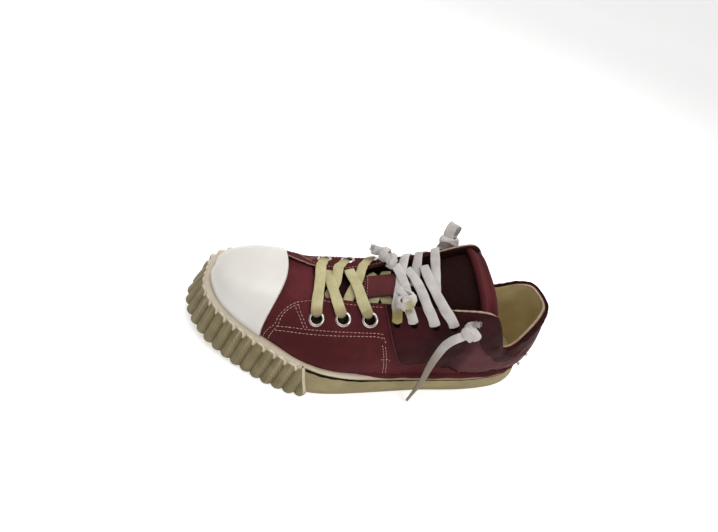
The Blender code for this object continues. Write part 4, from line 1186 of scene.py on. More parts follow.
def build_vamp_panel():
    """The vamp's canvas carried on over the throat's front, dipping to the tongue behind."""
    s = np.concatenate([np.linspace(-4.4, 0, 60), np.linspace(0, 5.4, 76)[1:]])
    k = np.abs(s)
    start = np.where(s > 0, 4.05, 2.7)
    tuck = soft_step((k - start) / 0.7)[:, None]
    v = np.array([0.80, 0.86, 0.91, 0.95, 0.98, 1.0])
    over = np.array([-0.25, 0.05, 0.14, 0.20, 0.24, 0.26])
    rows = worn(s[:, None] % TURN, v[None], over * (1 - tuck) - 2.7 * tuck)
    edge = rows[:, -1]
    x = np.clip(edge[:, 0] - 1.0, 189, 208.5)
    height = table(x, ((188, 192, 196, 200, 204, 208.5), (60.4, 61.2, 62.6, 64.2, 65.6, 66.35)))
    way = (np.column_stack([x, -1.4 + 0 * x, height]) - edge)[:, None]
    t = np.linspace(0, 1, 14)[1:]
    inner = edge[:, None] + way * t[None, :, None]
    inner[..., 2] = edge[:, None, 2] + way[..., 2] * t ** 0.8
    grid = np.concatenate([rows, inner], 1)
    x, y = grid[..., 0], grid[..., 1]
    shade = ramp((207 - x) / 14) * ramp((13 - y) / 8) * 0.9
    add_grid("vamp_over_throat", grid, "tongue canvas", "burgundy_canvas", cloth=np.stack([x, y * 1.02], -1),
             tint=-shade)


def build_lining():
    """Khaki lining inside the canvas shell, lost in shadow under the tongue."""
    s = section_spread(421)[:-1]
    v = np.concatenate([[1.0, 0.985], np.linspace(0.96, -0.06, 38)])
    thick = 1.1 + 0.9 * eased((1 - v) * 12)
    face = worn(s[:, None], v[None], -thick[None])
    back = worn(s[:, None], v[None, ::-1], -1.05)
    grid = np.concatenate([face, back], 1)[:, ::-1]
    x, z = grid[..., 0], grid[..., 2]
    dark = ramp((x - 71) / 9) * ramp((z - tongue_top(x) + 34) / 8)
    add_grid("lining", grid, "khaki lining", "khaki_lining", round_rows=True, round_columns=True, tint=dark)


def build_footbed():
    """The bed inside, from its rounded rim to its middle."""
    u, x = round_sole(320)
    low = table(x, BAND_TOP) - table(x, BAND_HEIGHT) + 0.3
    inset = inset_at(u, x, FOOT_INSET) + WALL + 0.2
    rings = []
    for inward, up in ((0.3, 2.0), (0.6, 4.4), (1.6, 4.3), (5.0, 3.9), (12.0, 3.6), (20.0, 3.5)):
        rings.append(ring(u, inset + inward, low + up))
    last = rings[-1]
    spine = last * (1, 0, 1) + (0, last[:, 1].mean(), 0)
    rings += [last * share + spine * (1 - share) for share in (0.66, 0.33, 0.02)]
    add_grid("footbed", np.stack(rings, 1), "khaki lining", "khaki_lining", round_rows=True,
             nodes=("insole",))


# The rear leather's torn lower edge: x, and height.
TORN_EDGE = (
    (8.0, 30.0), (16.0, 28.5), (28.1, 28.3), (34.0, 29.4), (40.3, 30.7), (48.6, 32.0), (51.6, 28.5),
    (56.7, 25.6), (65.9, 25.2), (73.1, 26.7), (81.3, 31.6), (87.2, 34.6), (93.3, 34.9), (102.8, 36.8),
    (113.1, 40.2), (120.4, 38.9), (126.4, 38.2), (131.0, 41.5), (133.5, 44.6),
)
# Where the rear leather's front edge lies: shares of height, and x.
SEAM = (0.20, 0.282, 0.44, 0.602, 0.819, 0.977, 1.0), (126.4, 133.0, 139.7, 144.9, 149.9, 152.5, 152.8)

# The heel seam's line round the back: sections, and shares of height.
HEEL_LINE = (13.08, 14.0, 15.0, 16.38, 17.84, 19.8, 26.2, 28.2, 29.6, 31.0, 32.0, 32.9), (
    0.695, 0.614, 0.602, 0.625, 0.625, 0.70, 0.70, 0.625, 0.625, 0.602, 0.614, 0.695)


def seam_section(v, outer):
    """Section where the rear leather's front edge lies at v."""
    s = np.linspace(2, HEEL_S - 3, 900) if outer else np.linspace(TURN - 2, HEEL_S + 3, 900)
    x = upper_base(s, v + 0 * s)[:, 0]
    return float(np.interp(-float(table(v, SEAM)), -x, s))


def torn_v(s):
    """Share of height where the torn edge crosses section s."""
    v = np.linspace(0, 1, 300)
    line = upper_base(s + 0 * v, v)
    want = table(line[:, 0], tuple(np.array(TORN_EDGE).T))
    above = np.nonzero(line[:, 2] > want)[0]
    ragged = 0.006 * np.sin(s * 23.0) + 0.004 * np.sin(s * 57.0 + 1.0) + 0.003 * np.sin(s * 131.0)
    return v[above[0]] + ragged


def leather_places(along, up):
    """Sections and shares of height over the rear leather; along runs 0 to 1 between its front edges and
    up from its torn edge to its top."""
    sections = np.linspace(9.2, TURN - 9.2, 800)
    torn = np.array([torn_v(a) for a in sections])
    rows = np.linspace(0, 1, 60)
    first, last = (np.array([seam_section(a, outer) for a in rows]) for outer in (True, False))
    along = along[:, None]
    v = np.broadcast_to(0.2 + 0.8 * up, (len(along), len(up)))
    for _ in range(4):  # the edges depend on the height, and the torn edge on the section
        s = np.interp(v, rows, first) * (1 - along) + np.interp(v, rows, last) * along
        floor = np.interp(s, sections, torn)
        v = floor + (1.0 - floor) * up
    return s, v


LEATHER_START = 8.6  # a section just ahead of the rear leather's front edge, counted from either end
WORN_START = 12.4  # the section where the worn heel begins, counted the same way; the heel is paler there from wear and painted highlight


def build_rear_leather():
    """Leather shell round the heel, with its turned front edges, frayed foot and worn heel, the paler parts
    partly wear and partly painted highlight.
    """
    s = section_spread(480, LEATHER_START, TURN - LEATHER_START)
    along, end = (s - s[0]) / (s[-1] - s[0]), np.linspace(0, 0.012, 9)
    along = np.unique(np.concatenate([along, end, 1 - end]))
    end = 0.02 * np.linspace(0, 1, 6)
    up = np.unique(np.concatenate([np.linspace(0, 1, 58), end, 1 - end]))
    s, v = leather_places(along, up)
    flat = worn(s, v)
    side = np.minimum(apart(flat, flat[:1]), apart(flat, flat[-1:]))
    foot, rim = apart(flat, flat[:, :1]), apart(flat, flat[:, -1:])
    off = 0.25 + (OVERLAY - 0.1) * eased(side / 1.1) * eased(foot / 0.9) * (0.35 + 0.65 * eased(rim / 1.6))
    frayed = (0.5 + 0.5 * np.sin(s * 3.7)) * (0.6 + 0.4 * np.sin(s * 9.1))
    off += 0.7 * dome(foot / 2.2) * eased(foot / 0.9) * frayed
    off -= 0.35 * dome((side - 2.2) / 0.7)
    grid = np.concatenate([worn(s, v, off), worn(s, v, 0.12)[:, ::-1]], 1)
    # Paler along the front edges, along the foot and below the heel seam: partly wear, partly painted
    # highlight.
    tint = 0.35 * dome(side / 1.2) + 0.25 * dome(foot / 1.4)
    below = ramp((np.interp(s, *HEEL_LINE) - v) / 0.03)
    tint += 0.55 * ramp((s - WORN_START) / 1.6) * ramp((TURN - WORN_START - s) / 1.6) * below
    made = add_grid("rear_leather", grid, "burgundy leather", "burgundy_leather", round_columns=True,
                    nodes=("rear_overlay",), tint=np.concatenate([tint, 0 * tint], 1))
    punch(made, PUNCHED, PUNCHED_HOLE)


def leather_edge_rows():
    """The leather's front edge from top to bottom and its torn edge on to the heel, on the outer side."""
    rows = []
    for level in np.linspace(0.985, 0.2, 60):
        at = seam_section(level, True)
        if level < torn_v(at) + 0.01:
            break
        rows.append((at + 0.09, level))
    return rows + [(a, torn_v(a) + 0.012) for a in np.linspace(rows[-1][0] + 0.25, 12.1, 40)]


def build_leather_lines():
    """Raised seams on the rear leather, paler as painted highlight, and the painted shadow under its torn
    edge.
    """
    ridge, shadow_tube = Bunch(), Bunch()
    edge = leather_edge_rows()[::2]
    heel = np.array(HEEL_LINE).T[:6]
    shadow = [(a, torn_v(a) + 0.004 + 0.004 * np.sin(a * 9.0)) for a in np.linspace(11.7, 20.0, 110)]
    for mirror in (False, True):
        # The seam ridges carry tint 0.5, a painted highlight.
        tube_on_upper(ridge, edge, 0.5, OVERLAY + 0.15, mirror, 7, 0.5)
        tube_on_upper(ridge, heel, 0.55, OVERLAY + 0.10, mirror, 7, 0.5)
        tube_on_upper(shadow_tube, shadow, 0.75, OVERLAY, mirror, 6)
    ridge.piece("leather_seam_ridges", "burgundy leather", "burgundy_leather")
    shadow_tube.piece("torn_edge_shadow", "dark line", "burgundy_leather")


def build_heel_threads():
    """Loose threads that hang from the torn edge at the heel."""
    threads = Bunch()
    for a, level, seed in ((21.1, 0.50, 2), (21.8, 0.20, 4)):
        way = unit(worn(a, level, 2.0) - worn(a, level, 0.0) - (0, 0, 0.8))
        fray(threads, worn(a, level, OVERLAY), way, 9, 4.2, 0.45, 0.24, seed)
    threads.piece("heel_loose_threads", "dark suede", "dark_pile")


def line_on_upper(rows, off, mirror):
    """Closely spaced points on the worn upper through (section, share of height) rows, and the ways out."""
    rows = np.array(rows, float)
    if mirror:
        rows[:, 0] = TURN - rows[:, 0]
    s, v = smooth_line(rows, 0.02).T
    p = worn(s, v, off)
    return p, unit(worn(s, v, off + 1.0) - p)


def tube_on_upper(bunch, rows, radius, off, mirror, around, tint=0.0):
    """Round cord lying on the upper through (section, share of height) rows."""
    p, _ = line_on_upper(rows, off, mirror)
    run = running(p)
    at = np.linspace(0, run[-1], max(4, int(run[-1] / 0.8)))
    rings = round_rings(points_at(p, run, at), radius, around)
    along = np.broadcast_to(at[:, None], rings.shape[:2])
    bunch.add_rings(rings, np.stack([along, 0 * along], -1), tint)


# Rows of stitches on the outer side as (section, share of height); the inner side mirrors them.
STITCH_ROWS = (
    ((3.80, 0.918), (3.43, 0.888), (2.98, 0.842), (2.84, 0.772), (2.95, 0.680), (3.20, 0.540), (3.43, 0.410),
     (3.46, 0.274), (3.49, 0.03)),
    ((3.28, 0.822), (3.05, 0.775), (3.09, 0.672), (3.30, 0.550), (3.52, 0.430), (3.61, 0.282), (3.66, 0.05)),
    ((3.16, 0.770), (3.26, 0.764), (3.91, 0.660), (4.47, 0.537)),
    ((3.28, 0.800), (3.40, 0.785), (4.08, 0.664), (4.62, 0.545)),
    ((3.53, 0.382), (3.95, 0.463), (4.57, 0.525), (5.60, 0.602), (6.64, 0.649), (7.56, 0.660), (8.02, 0.650)),
    ((3.61, 0.301), (3.95, 0.378), (4.49, 0.448), (5.68, 0.552), (6.68, 0.606), (7.60, 0.620), (8.06, 0.600)),
    ((8.02, 0.625), (8.16, 0.58), (8.26, 0.533)),
    ((8.10, 0.52), (8.34, 0.40), (8.62, 0.24), (8.92, 0.04)),
    ((8.28, 0.50), (8.52, 0.38), (8.80, 0.22), (9.08, 0.04)),
    ((8.30, 0.30), (8.75, 0.31), (8.90, 0.27)),
)
EDGE_ROW_DROP = 2.9  # how far below the top edge the eyelet row's stitches run


def stitch_row(bunch, line, out, pitch=2.7, length=1.9, radius=0.29):
    """Short threads that rise out of the cloth and dip back into it."""
    run = running(line)
    count = int(run[-1] / pitch)
    arch = np.sin(np.linspace(0, np.pi, 7)) ** 0.5
    for k in range(count):
        at = (k + 0.25) * run[-1] / count + np.linspace(0, length, 7)
        p = points_at(line, run, at) + unit(points_at(out, run, at)) * (arch * 0.42 - 0.30)[:, None]
        bunch.add_rings(round_rings(p, radius * (0.75 + 0.25 * arch), 7))


def build_stitches():
    """The stitch rows, and one more on each side along the eyelets."""
    threads = Bunch()
    for mirror in (False, True):
        for rows in STITCH_ROWS:
            stitch_row(threads, *line_on_upper(rows, QUARTER + 0.05, mirror))
        where = [find_on_upper(x, EDGE_ROW_DROP, not mirror) for x in np.linspace(196, 153.5, 34)]
        s, v = np.array(where).T
        p = worn(s, v, QUARTER + 0.05)
        stitch_row(threads, p, unit(worn(s, v, 2.0) - p))
    threads.piece("stitching", "seam thread", "cream_lace")


def build_raw_edge():
    """Raw leather edge along the rear flaps."""
    raw = Bunch()
    for mirror in (False, True):
        xs = np.concatenate([np.linspace(117 if mirror else 112, 90, 30), np.linspace(89, 82, 7)])
        s = np.array([edge_section(x, not mirror) for x in xs])
        path = smooth_line(worn(s, 1.0, 0.35) + (0, 0, 0.15), 0.7)
        run = running(path)
        radius = (0.66 + 0.07 * np.sin(run * 1.3)) * np.clip(to_ends(run) / 5, 0.25, 1)
        raw.add_rings(round_rings(path, radius, 10))
    raw.piece("flap_raw_edge", "cream piping", "cream_rubber")


def build_piping():
    """The lining's cream piping along the collar."""
    piping = Bunch()
    path = smooth_line(worn(np.linspace(16.0, HEEL_S + 3.2, 300), 1.0, -2.0) + (0, 0, -0.5), 0.8)
    piping.add_rings(round_rings(path, 0.72 * np.clip(to_ends(running(path)) / 6, 0.3, 1), 10))
    piping.piece("lining_piping", "cream piping", "khaki_lining")


COLLAR_START, COLLAR_END = 19.0, TURN - 15.4  # sections where the suede roll begins and ends


def build_collar():
    """Padded dark suede roll round the back of the collar."""
    s = section_spread(260, COLLAR_START, COLLAR_END)
    lean = ramp((s - COLLAR_START) / 0.8) * ramp((COLLAR_END - s) / 1.0)
    drop = table(s, ((19.0, 20.0, 23, 26, 30.6), (0.05, 0.11, 0.15, 0.12, 0.05)))
    columns = []
    for turn in circle(22)[::-1]:
        share = 0.5 - 0.5 * np.cos(turn)  # 0 at the rim's top, 1 at the roll's foot
        off = np.sin(turn) * (1.9 + 0.35 * np.sin(s * 7.7 + turn) * np.sin(s * 3.1)) + 0.4
        column = worn(s, 1.0 - drop * share, off * (0.35 + 0.65 * lean))
        column[:, 2] += 1.2 * (1 - share) ** 2 * lean
        columns.append(column)
    add_grid("collar_roll", np.stack(columns, 1), "dark suede", "dark_pile", round_columns=True)


def build_tongue():
    """The tongue in three stretches: canvas in front, pile behind the keeper, canvas at its end."""
    xs = np.concatenate([np.linspace(216, 92, 180), np.linspace(91.5, 76.5, 32)])
    z, half, drop, thick = (row_table(xs, TONGUE, k)[:, None] for k in range(1, 5))
    a = circle(64)
    y = half * squared(np.cos(a), 0.75)
    height = z + 0.5 * thick * (squared(np.sin(a), 0.7) - 1) - drop * (y / half) ** 2
    height += 0.25 * np.sin(xs / 5.3)[:, None] * np.sin(y / 6.1)
    grid = np.stack([np.broadcast_to(xs[:, None], y.shape), y + TONGUE_Y, height], -1)
    cloth = grid_cloth(grid)
    cut, end = (int(np.searchsorted(-xs, -x)) for x in (158.0, 86.5))
    front, pile_part, back = slice(0, cut + 1), slice(cut, end + 1), slice(end, None)
    shade = -0.75 * ramp((grid[front, :, 0] - 160) / 8)
    add_tube("tongue_front", grid[front], "tongue canvas", "burgundy_canvas", cloth=cloth[front], tint=shade,
             nodes=("tongue",))
    add_tube("tongue_pile", grid[pile_part], "dark pile", "dark_pile", cloth=cloth[pile_part])
    add_tube("tongue_back", grid[back], "burgundy canvas", "burgundy_canvas", cloth=cloth[back],
             tint=np.full(grid[back].shape[:2], -0.25))


def build_tongue_rim():
    """Padded burgundy roll across the tongue's rear end."""
    y = np.linspace(-30.0, 29.0, 130)
    side = np.abs(y + 0.5) / 29.8
    x = 87.9 - 0.012 * (y + 25)
    z = tongue_top(x, np.clip(y, -26, 25)) + 0.9 - 5.0 * side ** 7
    path = np.column_stack([x, y, z])
    _, across, out = frame_along(path, np.array((-0.45, 0, 1.0)))
    a = circle(32)
    fat = 1 - 0.25 * side ** 8
    wide = (4.3 + 0.011 * (y + 25)) * fat * (1 + 0.02 * np.sin(y / 3.1))
    tall = 3.0 * fat
    rings = (path[:, None] + across[:, None] * (wide[:, None] * squared(np.cos(a), 0.8))[..., None]
             + out[:, None] * (tall[:, None] * np.sin(a))[..., None])
    backward = np.sign(across[60] @ (-1, 0, 0))
    # Painted highlight along the roll's rear-facing top, and slight painted shade elsewhere.
    painted_highlight = 0.5 * dome((np.cos(a) * backward + 0.45) / 0.3) * (np.sin(a) > -0.2)
    add_tube("tongue_rim", rings, "burgundy canvas", "burgundy_canvas",
             tint=np.broadcast_to(1.1 * painted_highlight - 0.2, rings.shape[:2]))


def build_keeper():
    """Strap across the tongue's middle, with stitching at its front end."""
    x, y = np.linspace(140.8, 167.2, 46), np.linspace(*KEEPER_Y, 22)
    xx, yy = np.meshgrid(x, y, indexing="ij")
    base = tongue_top(xx, yy) + GAP + row_table(xx, KEEPER, 1)
    edge = np.minimum(np.minimum(xx - x[0], x[-1] - xx), np.minimum(yy - y[0], y[-1] - yy))
    top = base + 0.5 + 1.1 * eased(edge / 1.0) + 0.15 * np.sin(xx / 2.9) * np.sin(yy / 3.7)
    grid = np.concatenate([np.stack([xx, yy, top], -1), np.stack([xx, yy, base], -1)[:, ::-1]], 1)
    add_tube("keeper_strap", grid, "tongue canvas", "burgundy_canvas", nodes=("lace_keeper",),
             tint=np.concatenate([0.3 + 0.3 * np.exp(-edge), 0 * edge], 1))
    threads = Bunch()
    y = np.linspace(KEEPER_Y[0] + 1, KEEPER_Y[1] - 1, 30)
    for x in (165.6, 164.2, 142.2):
        line = np.column_stack([x + 0 * y, y, tongue_top(x, y) + GAP + row_table(x, KEEPER, 1) + 1.6])
        stitch_row(threads, line, np.tile((0, 0, 1.0), (len(line), 1)), 2.4, 1.6, 0.28)
    threads.piece("keeper_stitching", "seam thread", "cream_lace")


# A metal ring's section: radius, and height over the canvas.
EYELET_PROFILE = (
    (3.55, -3.2), (3.75, -3.2), (3.8, -1.0), (3.8, 0.1), (3.95, 0.75), (4.25, 1.15), (4.6, 1.2), (5.1, 1.0),
    (5.6, 0.66), (5.95, 0.25), (6.0, 0.02), (5.8, -0.15), (4.8, -0.2),
)


def hole_circle(outer, hole, count, off=0.0):
    """A hole's middle, the way out of it, and ways from its middle round its edge."""
    point, out, rise = hole_frame(outer, hole, off)
    a = circle(count)[:, None]
    return point, out, np.cross(out, rise) * np.cos(a) + rise * np.sin(a)


def build_eyelets():
    """Six rolled metal rings."""
    radius, height = np.array(EYELET_PROFILE).T
    a = circle(56)
    for outer in (True, False):
        side = "outer" if outer else "inner"
        for hole in METAL:
            point, out, ways = hole_circle(outer, hole, len(a), QUARTER + 0.15)
            wobble = 1 + 0.012 * np.sin(2 * a + hole) + 0.008 * np.sin(3 * a + 2 * hole)
            spokes = ways[:, None] * (radius * wobble[:, None])[..., None]
            add_grid(f"metal_ring_{side}_{hole + 1}", point + spokes + out * height[:, None], "eyelet metal",
                     "eyelet_metal", round_rows=True, nodes=(f"eyelet_{side}_{hole + 1}",))


def build_hole_shadow_cups():
    """Dark cups of painted shade behind the lace holes."""
    cups = Bunch()
    for outer in (True, False):
        for hole in range(len(HOLES)):
            point, out, ways = hole_circle(outer, hole, 24)
            wall, lip = (3.72, -0.5) if hole in METAL else (2.75, 0.6)
            rows = ((0.02, -0.98), (0.6, -0.96), (0.92, -0.88), (1.0, lip))
            grid = np.stack([point + ways * wall * share + out * z for share, z in rows], 1)
            cups.add(grid[::-1], [grid_faces(*grid.shape[:2], round_rows=True)])
    cups.piece("hole_shadow_cups", "dark line", "dark_pile")


# ---------------------------------------------------------------- laces
def leg(outer, hole, edge_x):
    """Points from inside a hole, over its edge and up to the top edge, each with the way out and a width."""
    s0, v0 = find_on_upper(*HOLES[hole], outer)
    s1 = edge_section(edge_x, outer)
    metal = hole in METAL
    skin = (1.35 + QUARTER if metal else OVERLAY + 0.35) + 0.5 * LACE_THICK
    radius = 3.3 if metal else 2.1
    point, out, _ = hole_frame(outer, hole)
    share = np.array([0.34, 0.62, 0.86, 1.0])
    s, v = s0 + (s1 - s0) * share, v0 + (0.995 - v0) * share
    on = worn(s, v, skin + 0.15)
    n = unit(worn(s, v, skin + 1.15) - on)
    way = unit(on[0] - point - out * ((on[0] - point) @ out))
    deep, mid, near = (0.52, 0.56, 0.66) if metal else (0.2, 0.3, 0.5)
    narrow = (0.66, 0.70, 0.80, 0.96) if metal else (0.50, 0.60, 0.80, 1.0)
    rows = []
    for ahead, lift, facing, width in (
            (deep * radius, -1.7, -way, narrow[0]),
            (mid * radius, skin - 2.6, -way, narrow[1]),
            (near * radius, skin - 1.2, unit(out * 0.6 - way), narrow[2]),
            (near * radius + 1.5, skin - 0.1, unit(out * 1.4 - way * 0.5), narrow[3]),
            (near * radius + 4.0, skin + 0.15, out, 1.0)):
        rows.append((*(point + way * ahead + out * lift), *facing, width))
    rows += [(*p, *d, 1.0) for p, d in zip(on, n)]
    return np.array(rows)


def over_throat(points, from_tongue):
    """Rows like those of leg for points over the throat, whose heights may count from the tongue."""
    p = np.array(points, float)
    slope = (tongue_top(p[:, 0] + 1) - tongue_top(p[:, 0] - 1)) / 2
    if from_tongue:
        p[:, 2] += tongue_top(p[:, 0], p[:, 1])
    n = unit(np.column_stack([-slope, 0 * slope, 1 + 0 * slope]))
    return np.column_stack([p, n, 1 + 0 * slope])


def strand(bunch, start, middle, end, lift=0.0, width=LACE_WIDTH, thick=LACE_THICK, from_tongue=False,
           stain=None):
    """One strand of lace between two holes, or from a hole to a free end, lifted clear of the others."""
    rows = [over_throat(middle, from_tongue)]
    rows[0][:, 2] += lift
    if start:
        rows.insert(0, leg(*start))
    if end:
        rows.append(leg(*end)[::-1])
    line = smooth_line(np.vstack(rows), 0.8)
    path, up, wide = line[:, :3], unit(line[:, 3:6]), line[:, 6]
    for _ in range(3):
        for row in (path, up):
            row[1:-1] = 0.25 * row[:-2] + 0.5 * row[1:-1] + 0.25 * row[2:]
    run = running(path)
    wide = wide * (1 + 0.03 * np.sin(run / 5.3 + len(path)) + 0.02 * np.sin(run / 2.1))
    drawn = ramp(1 - wide)  # how far a strand is drawn together
    rings, cloth = band_rings(path, up, width * wide, thick * (1 + 0.5 * drawn), 0.10 + 1.9 * drawn)
    tint = np.zeros(rings.shape[:2])
    if stain:
        middle_of_stain, reach = stain
        tint = tint + ramp(1.4 - 1.4 * np.abs(run - middle_of_stain) / reach)[:, None] * 0.85
    # Painted shade on the lace where it dives into a hole, deeper at the metal rings.
    for d, there in ((run, start), (run[-1] - run, end)):
        if there and not stain:
            deep = 0.55 if there[1] in METAL else 0.3
            tint = tint - deep * dome(np.clip(d - 4.5, 0, 99) / 6.0)[:, None]
    bunch.add_rings(rings, cloth, tint.ravel())


# The strands of each lace piece: the hole and the top edge's x at the start, points over the throat, the
# same at the end (None where it runs out under another strand), and how far it is lifted.
CROSSINGS = {
    ("lace_bar_front", "lace_bar"): (
        ((True, 0, 199.6), ((200.0, 0.0, 68.4),), (False, 0, 200.6), 0.0),
    ),
    ("lace_crossing_front", "lace_cross_front"): (
        ((True, 1, 186.0),
         ((188.3, 8.6, 66.6), (191.4, -1.2, 65.4), (193.6, -9.6, 63.6), (194.6, -15.0, 62.6)), None, 0.9),
        ((False, 1, 186.6),
         ((187.5, -3.8, 65.2), (190.3, 6.6, 63.6), (191.4, 10.0, 63.0), (192.6, 15.0, 62.0)), None, -0.5),
    ),
    ("lace_crossing_middle", "lace_cross_mid"): (
        ((True, 2, 167.0),
         ((170.8, 7.0, 72.2), (174.6, -3.1, 70.8), (177.0, -10.0, 68.6), (178.4, -15.0, 67.2)), None, 0.9),
        ((False, 2, 167.6),
         ((171.5, -3.8, 70.8), (175.2, 7.0, 68.8), (176.6, 10.5, 68.0), (178.0, 15.5, 66.8)), None, -0.5),
    ),
}
# Strands under the keeper, with heights from the tongue, and how far each is lifted.
UNDER_KEEPER = (
    (((159.6, 15.5, 1.0), (158.8, 12.0, 1.3), (156.7, 6.5, 1.3), (154.6, 0.0, 1.3), (152.3, -6.5, 1.3),
      (150.0, -13.0, 1.3), (149.2, -15.5, 1.0)), 0.7),
    (((148.6, 15.5, 1.0), (149.4, 12.0, 1.3), (152.2, 6.5, 1.2), (155.0, 0.0, 1.0), (157.7, -6.5, 1.2),
      (160.4, -13.0, 1.3), (161.4, -15.5, 1.0)), -0.5),
)
# The white strands behind the keeper, like the crossings, with a stain's middle and reach along the first.
REAR_STRANDS = (
    ((True, 3, 144.0), ((142.5, 5.0, 84.0), (140.3, -11.0, 84.6)), (False, 4, 136.5), -0.3, (7.5, 10.0)),
    ((True, 4, 137.0), ((138.9, 7.0, 84.8), (142.0, -5.0, 84.6), (146.0, -13.5, 84.4)), None, 1.0, None),
    ((True, 5, 124.2), ((127.9, 9.0, 88.2), (132.2, -4.0, 86.6), (136.4, -12.0, 85.0)), None, 0.1, None),
    ((False, 5, 126.4), ((129.6, -8.0, 86.2), (131.6, 3.0, 85.4)), None, -1.2, None),
    ((True, 6, 113.6), ((118.5, 16.0, 93.3), (122.2, 0.0, 91.2), (124.4, -13.5, 89.8)), None, 0.7, None),
    ((False, 6, 114.4), ((116.1, -5.0, 92.4), (117.6, 11.0, 91.0)), None, -0.7, None),
)


def build_laces():
    """The cream laces in front and under the keeper, and the white ones behind it."""
    for (name, node), strands in CROSSINGS.items():
        laces = Bunch()
        for start, middle, end, lift in strands:
            strand(laces, start, middle, end, lift)
        laces.piece(name, "cream lace", "cream_lace", nodes=(node,))
    laces = Bunch()
    for middle, lift in UNDER_KEEPER:
        strand(laces, None, middle, None, lift, from_tongue=True)
    laces.piece("lace_crossing_under_keeper", "cream lace", "cream_lace", nodes=("lace_under_keeper",))
    laces = Bunch()
    for start, middle, end, lift, stain in REAR_STRANDS:
        strand(laces, start, middle, end, lift, WHITE_WIDTH, WHITE_THICK, stain=stain)
    laces.piece("lace_bands_rear", "white lace", "white_lace", nodes=("lace_rear",))


def declare_cord(path):
    """Length in metres of a loose end's path, worked out and not kept."""
    float(running(path)[-1]) * MM


def fray(bunch, point, way, count, length, spread, radius, seed, across=None, tint=0.0):
    """Loose fibres that fan out of a cut end. across is half the cut end's width."""
    rng = np.random.default_rng(seed)
    for _ in range(count):
        lean = unit(way + rng.normal(0, spread, 3))
        reach = length * rng.uniform(0.5, 1.0)
        if across is None:
            side = rng.normal(0, 0.9, 3)
        else:
            side = across * rng.uniform(-1, 1) + rng.normal(0, 0.35, 3)
        bend = rng.normal(0, 0.16 * reach, 3)
        t = np.linspace(0, 1, 6)[:, None]
        path = point + side * (1 - 0.3 * t) + lean * reach * t + bend * t ** 2
        bunch.add_rings(round_rings(path, radius * (1 - 0.7 * t[:, 0]), 5), tint=tint)


def crumpled(bunch, path, up, width, thick, crown, wrinkle=0.22, tint=0.0):
    """Flat lace with creases across it."""
    rings, cloth = band_rings(path, up, width, thick, crown)
    run, side = cloth[..., 0], cloth[..., 1]
    dent = wrinkle * (np.sin(run / 1.15 + side * 0.8) + 0.6 * np.sin(run / 0.62 - side * 1.5))
    rings = rings + frame_along(path, up)[2][:, None] * dent[..., None]
    shade = np.broadcast_to(np.reshape(tint, (-1, 1)), rings.shape[:2])
    bunch.add_rings(rings, cloth, shade.ravel())


def wrap(bunch, centre, axis, way, long, deep, width, tilt, phase, tint=0.0):
    """A turn of lace round an axis, long along way and deep across it."""
    axis = unit(np.array(axis, float))
    first = unit(way - axis * (way @ axis))
    turn = np.linspace(0, 2 * np.pi, 46)[:, None]
    swell = 1 + 0.10 * np.sin(2 * turn + phase) + 0.06 * np.sin(5 * turn - phase)
    loop = (np.array(centre) + first * long * swell * np.cos(turn)
            + np.cross(axis, first) * deep * swell * np.sin(turn) + axis * tilt * np.sin(turn + phase))
    wide = width * (1 + 0.18 * np.sin(2 * turn + 2 * phase)[:, 0])
    crumpled(bunch, loop, unit(loop - centre), wide, 1.5, 0.5, tint=tint)


# Knots and loose ends, each as the points that its middle follows.
LOOSE = {
    "lace_end_outer": ((93.0, 37.4, 89.6), (96.7, 40.5, 91.6), (100.0, 42.5, 90.6), (103.7, 44.0, 88.8),
                       (107.6, 45.0, 84.7), (109.9, 45.8, 78.2), (110.1, 46.4, 68.7), (109.3, 47.0, 56.1),
                       (108.3, 48.2, 43.9), (107.2, 50.0, 31.3), (108.0, 52.0, 21.6), (109.5, 54.4, 12.4),
                       (111.0, 57.0, 2.6)),
    "lace_end_inner": ((95.0, -37.2, 88.8), (98.5, -38.2, 91.8), (101.8, -40.0, 95.0),
                       (103.8, -43.0, 99.4), (103.4, -46.2, 104.8), (101.2, -48.8, 107.8),
                       (97.8, -51.2, 105.6), (95.2, -53.8, 99.6), (93.8, -56.6, 91.2),
                       (93.4, -59.2, 81.6), (93.6, -60.8, 72.0), (94.0, -61.4, 62.0)),
    "lace_knot_front": ((146.2, -13.4, 87.2), (149.6, -13.2, 88.7), (153.6, -15.4, 89.6),
                        (155.6, -20.2, 87.8), (150.8, -24.2, 85.0), (155.0, -26.9, 84.0),
                        (159.2, -27.2, 83.3), (162.4, -27.8, 82.6)),
    "lace_knot_outer": ((141.0, 14.5, 91.2), (137.6, 17.5, 93.4), (136.2, 22.0, 94.2),
                        (138.0, 26.8, 93.4), (142.2, 28.8, 91.2), (146.0, 27.0, 89.8),
                        (147.0, 22.8, 90.0), (144.6, 19.4, 91.0)),
}
# Directions the knots are laid out by: along the shoe's side, up it, and out of it.
FORE = np.array((0.969, 0.028, -0.247))
RISE = np.array((0.185, -0.747, 0.639))
FACE = np.array((0.166, 0.665, 0.728))


def loose_path(name, spacing):
    """A loose end's middle line, the length up to each point, and that length as a share."""
    path = smooth_line(LOOSE[name], spacing)
    run = running(path)
    return path, run, run / run[-1]


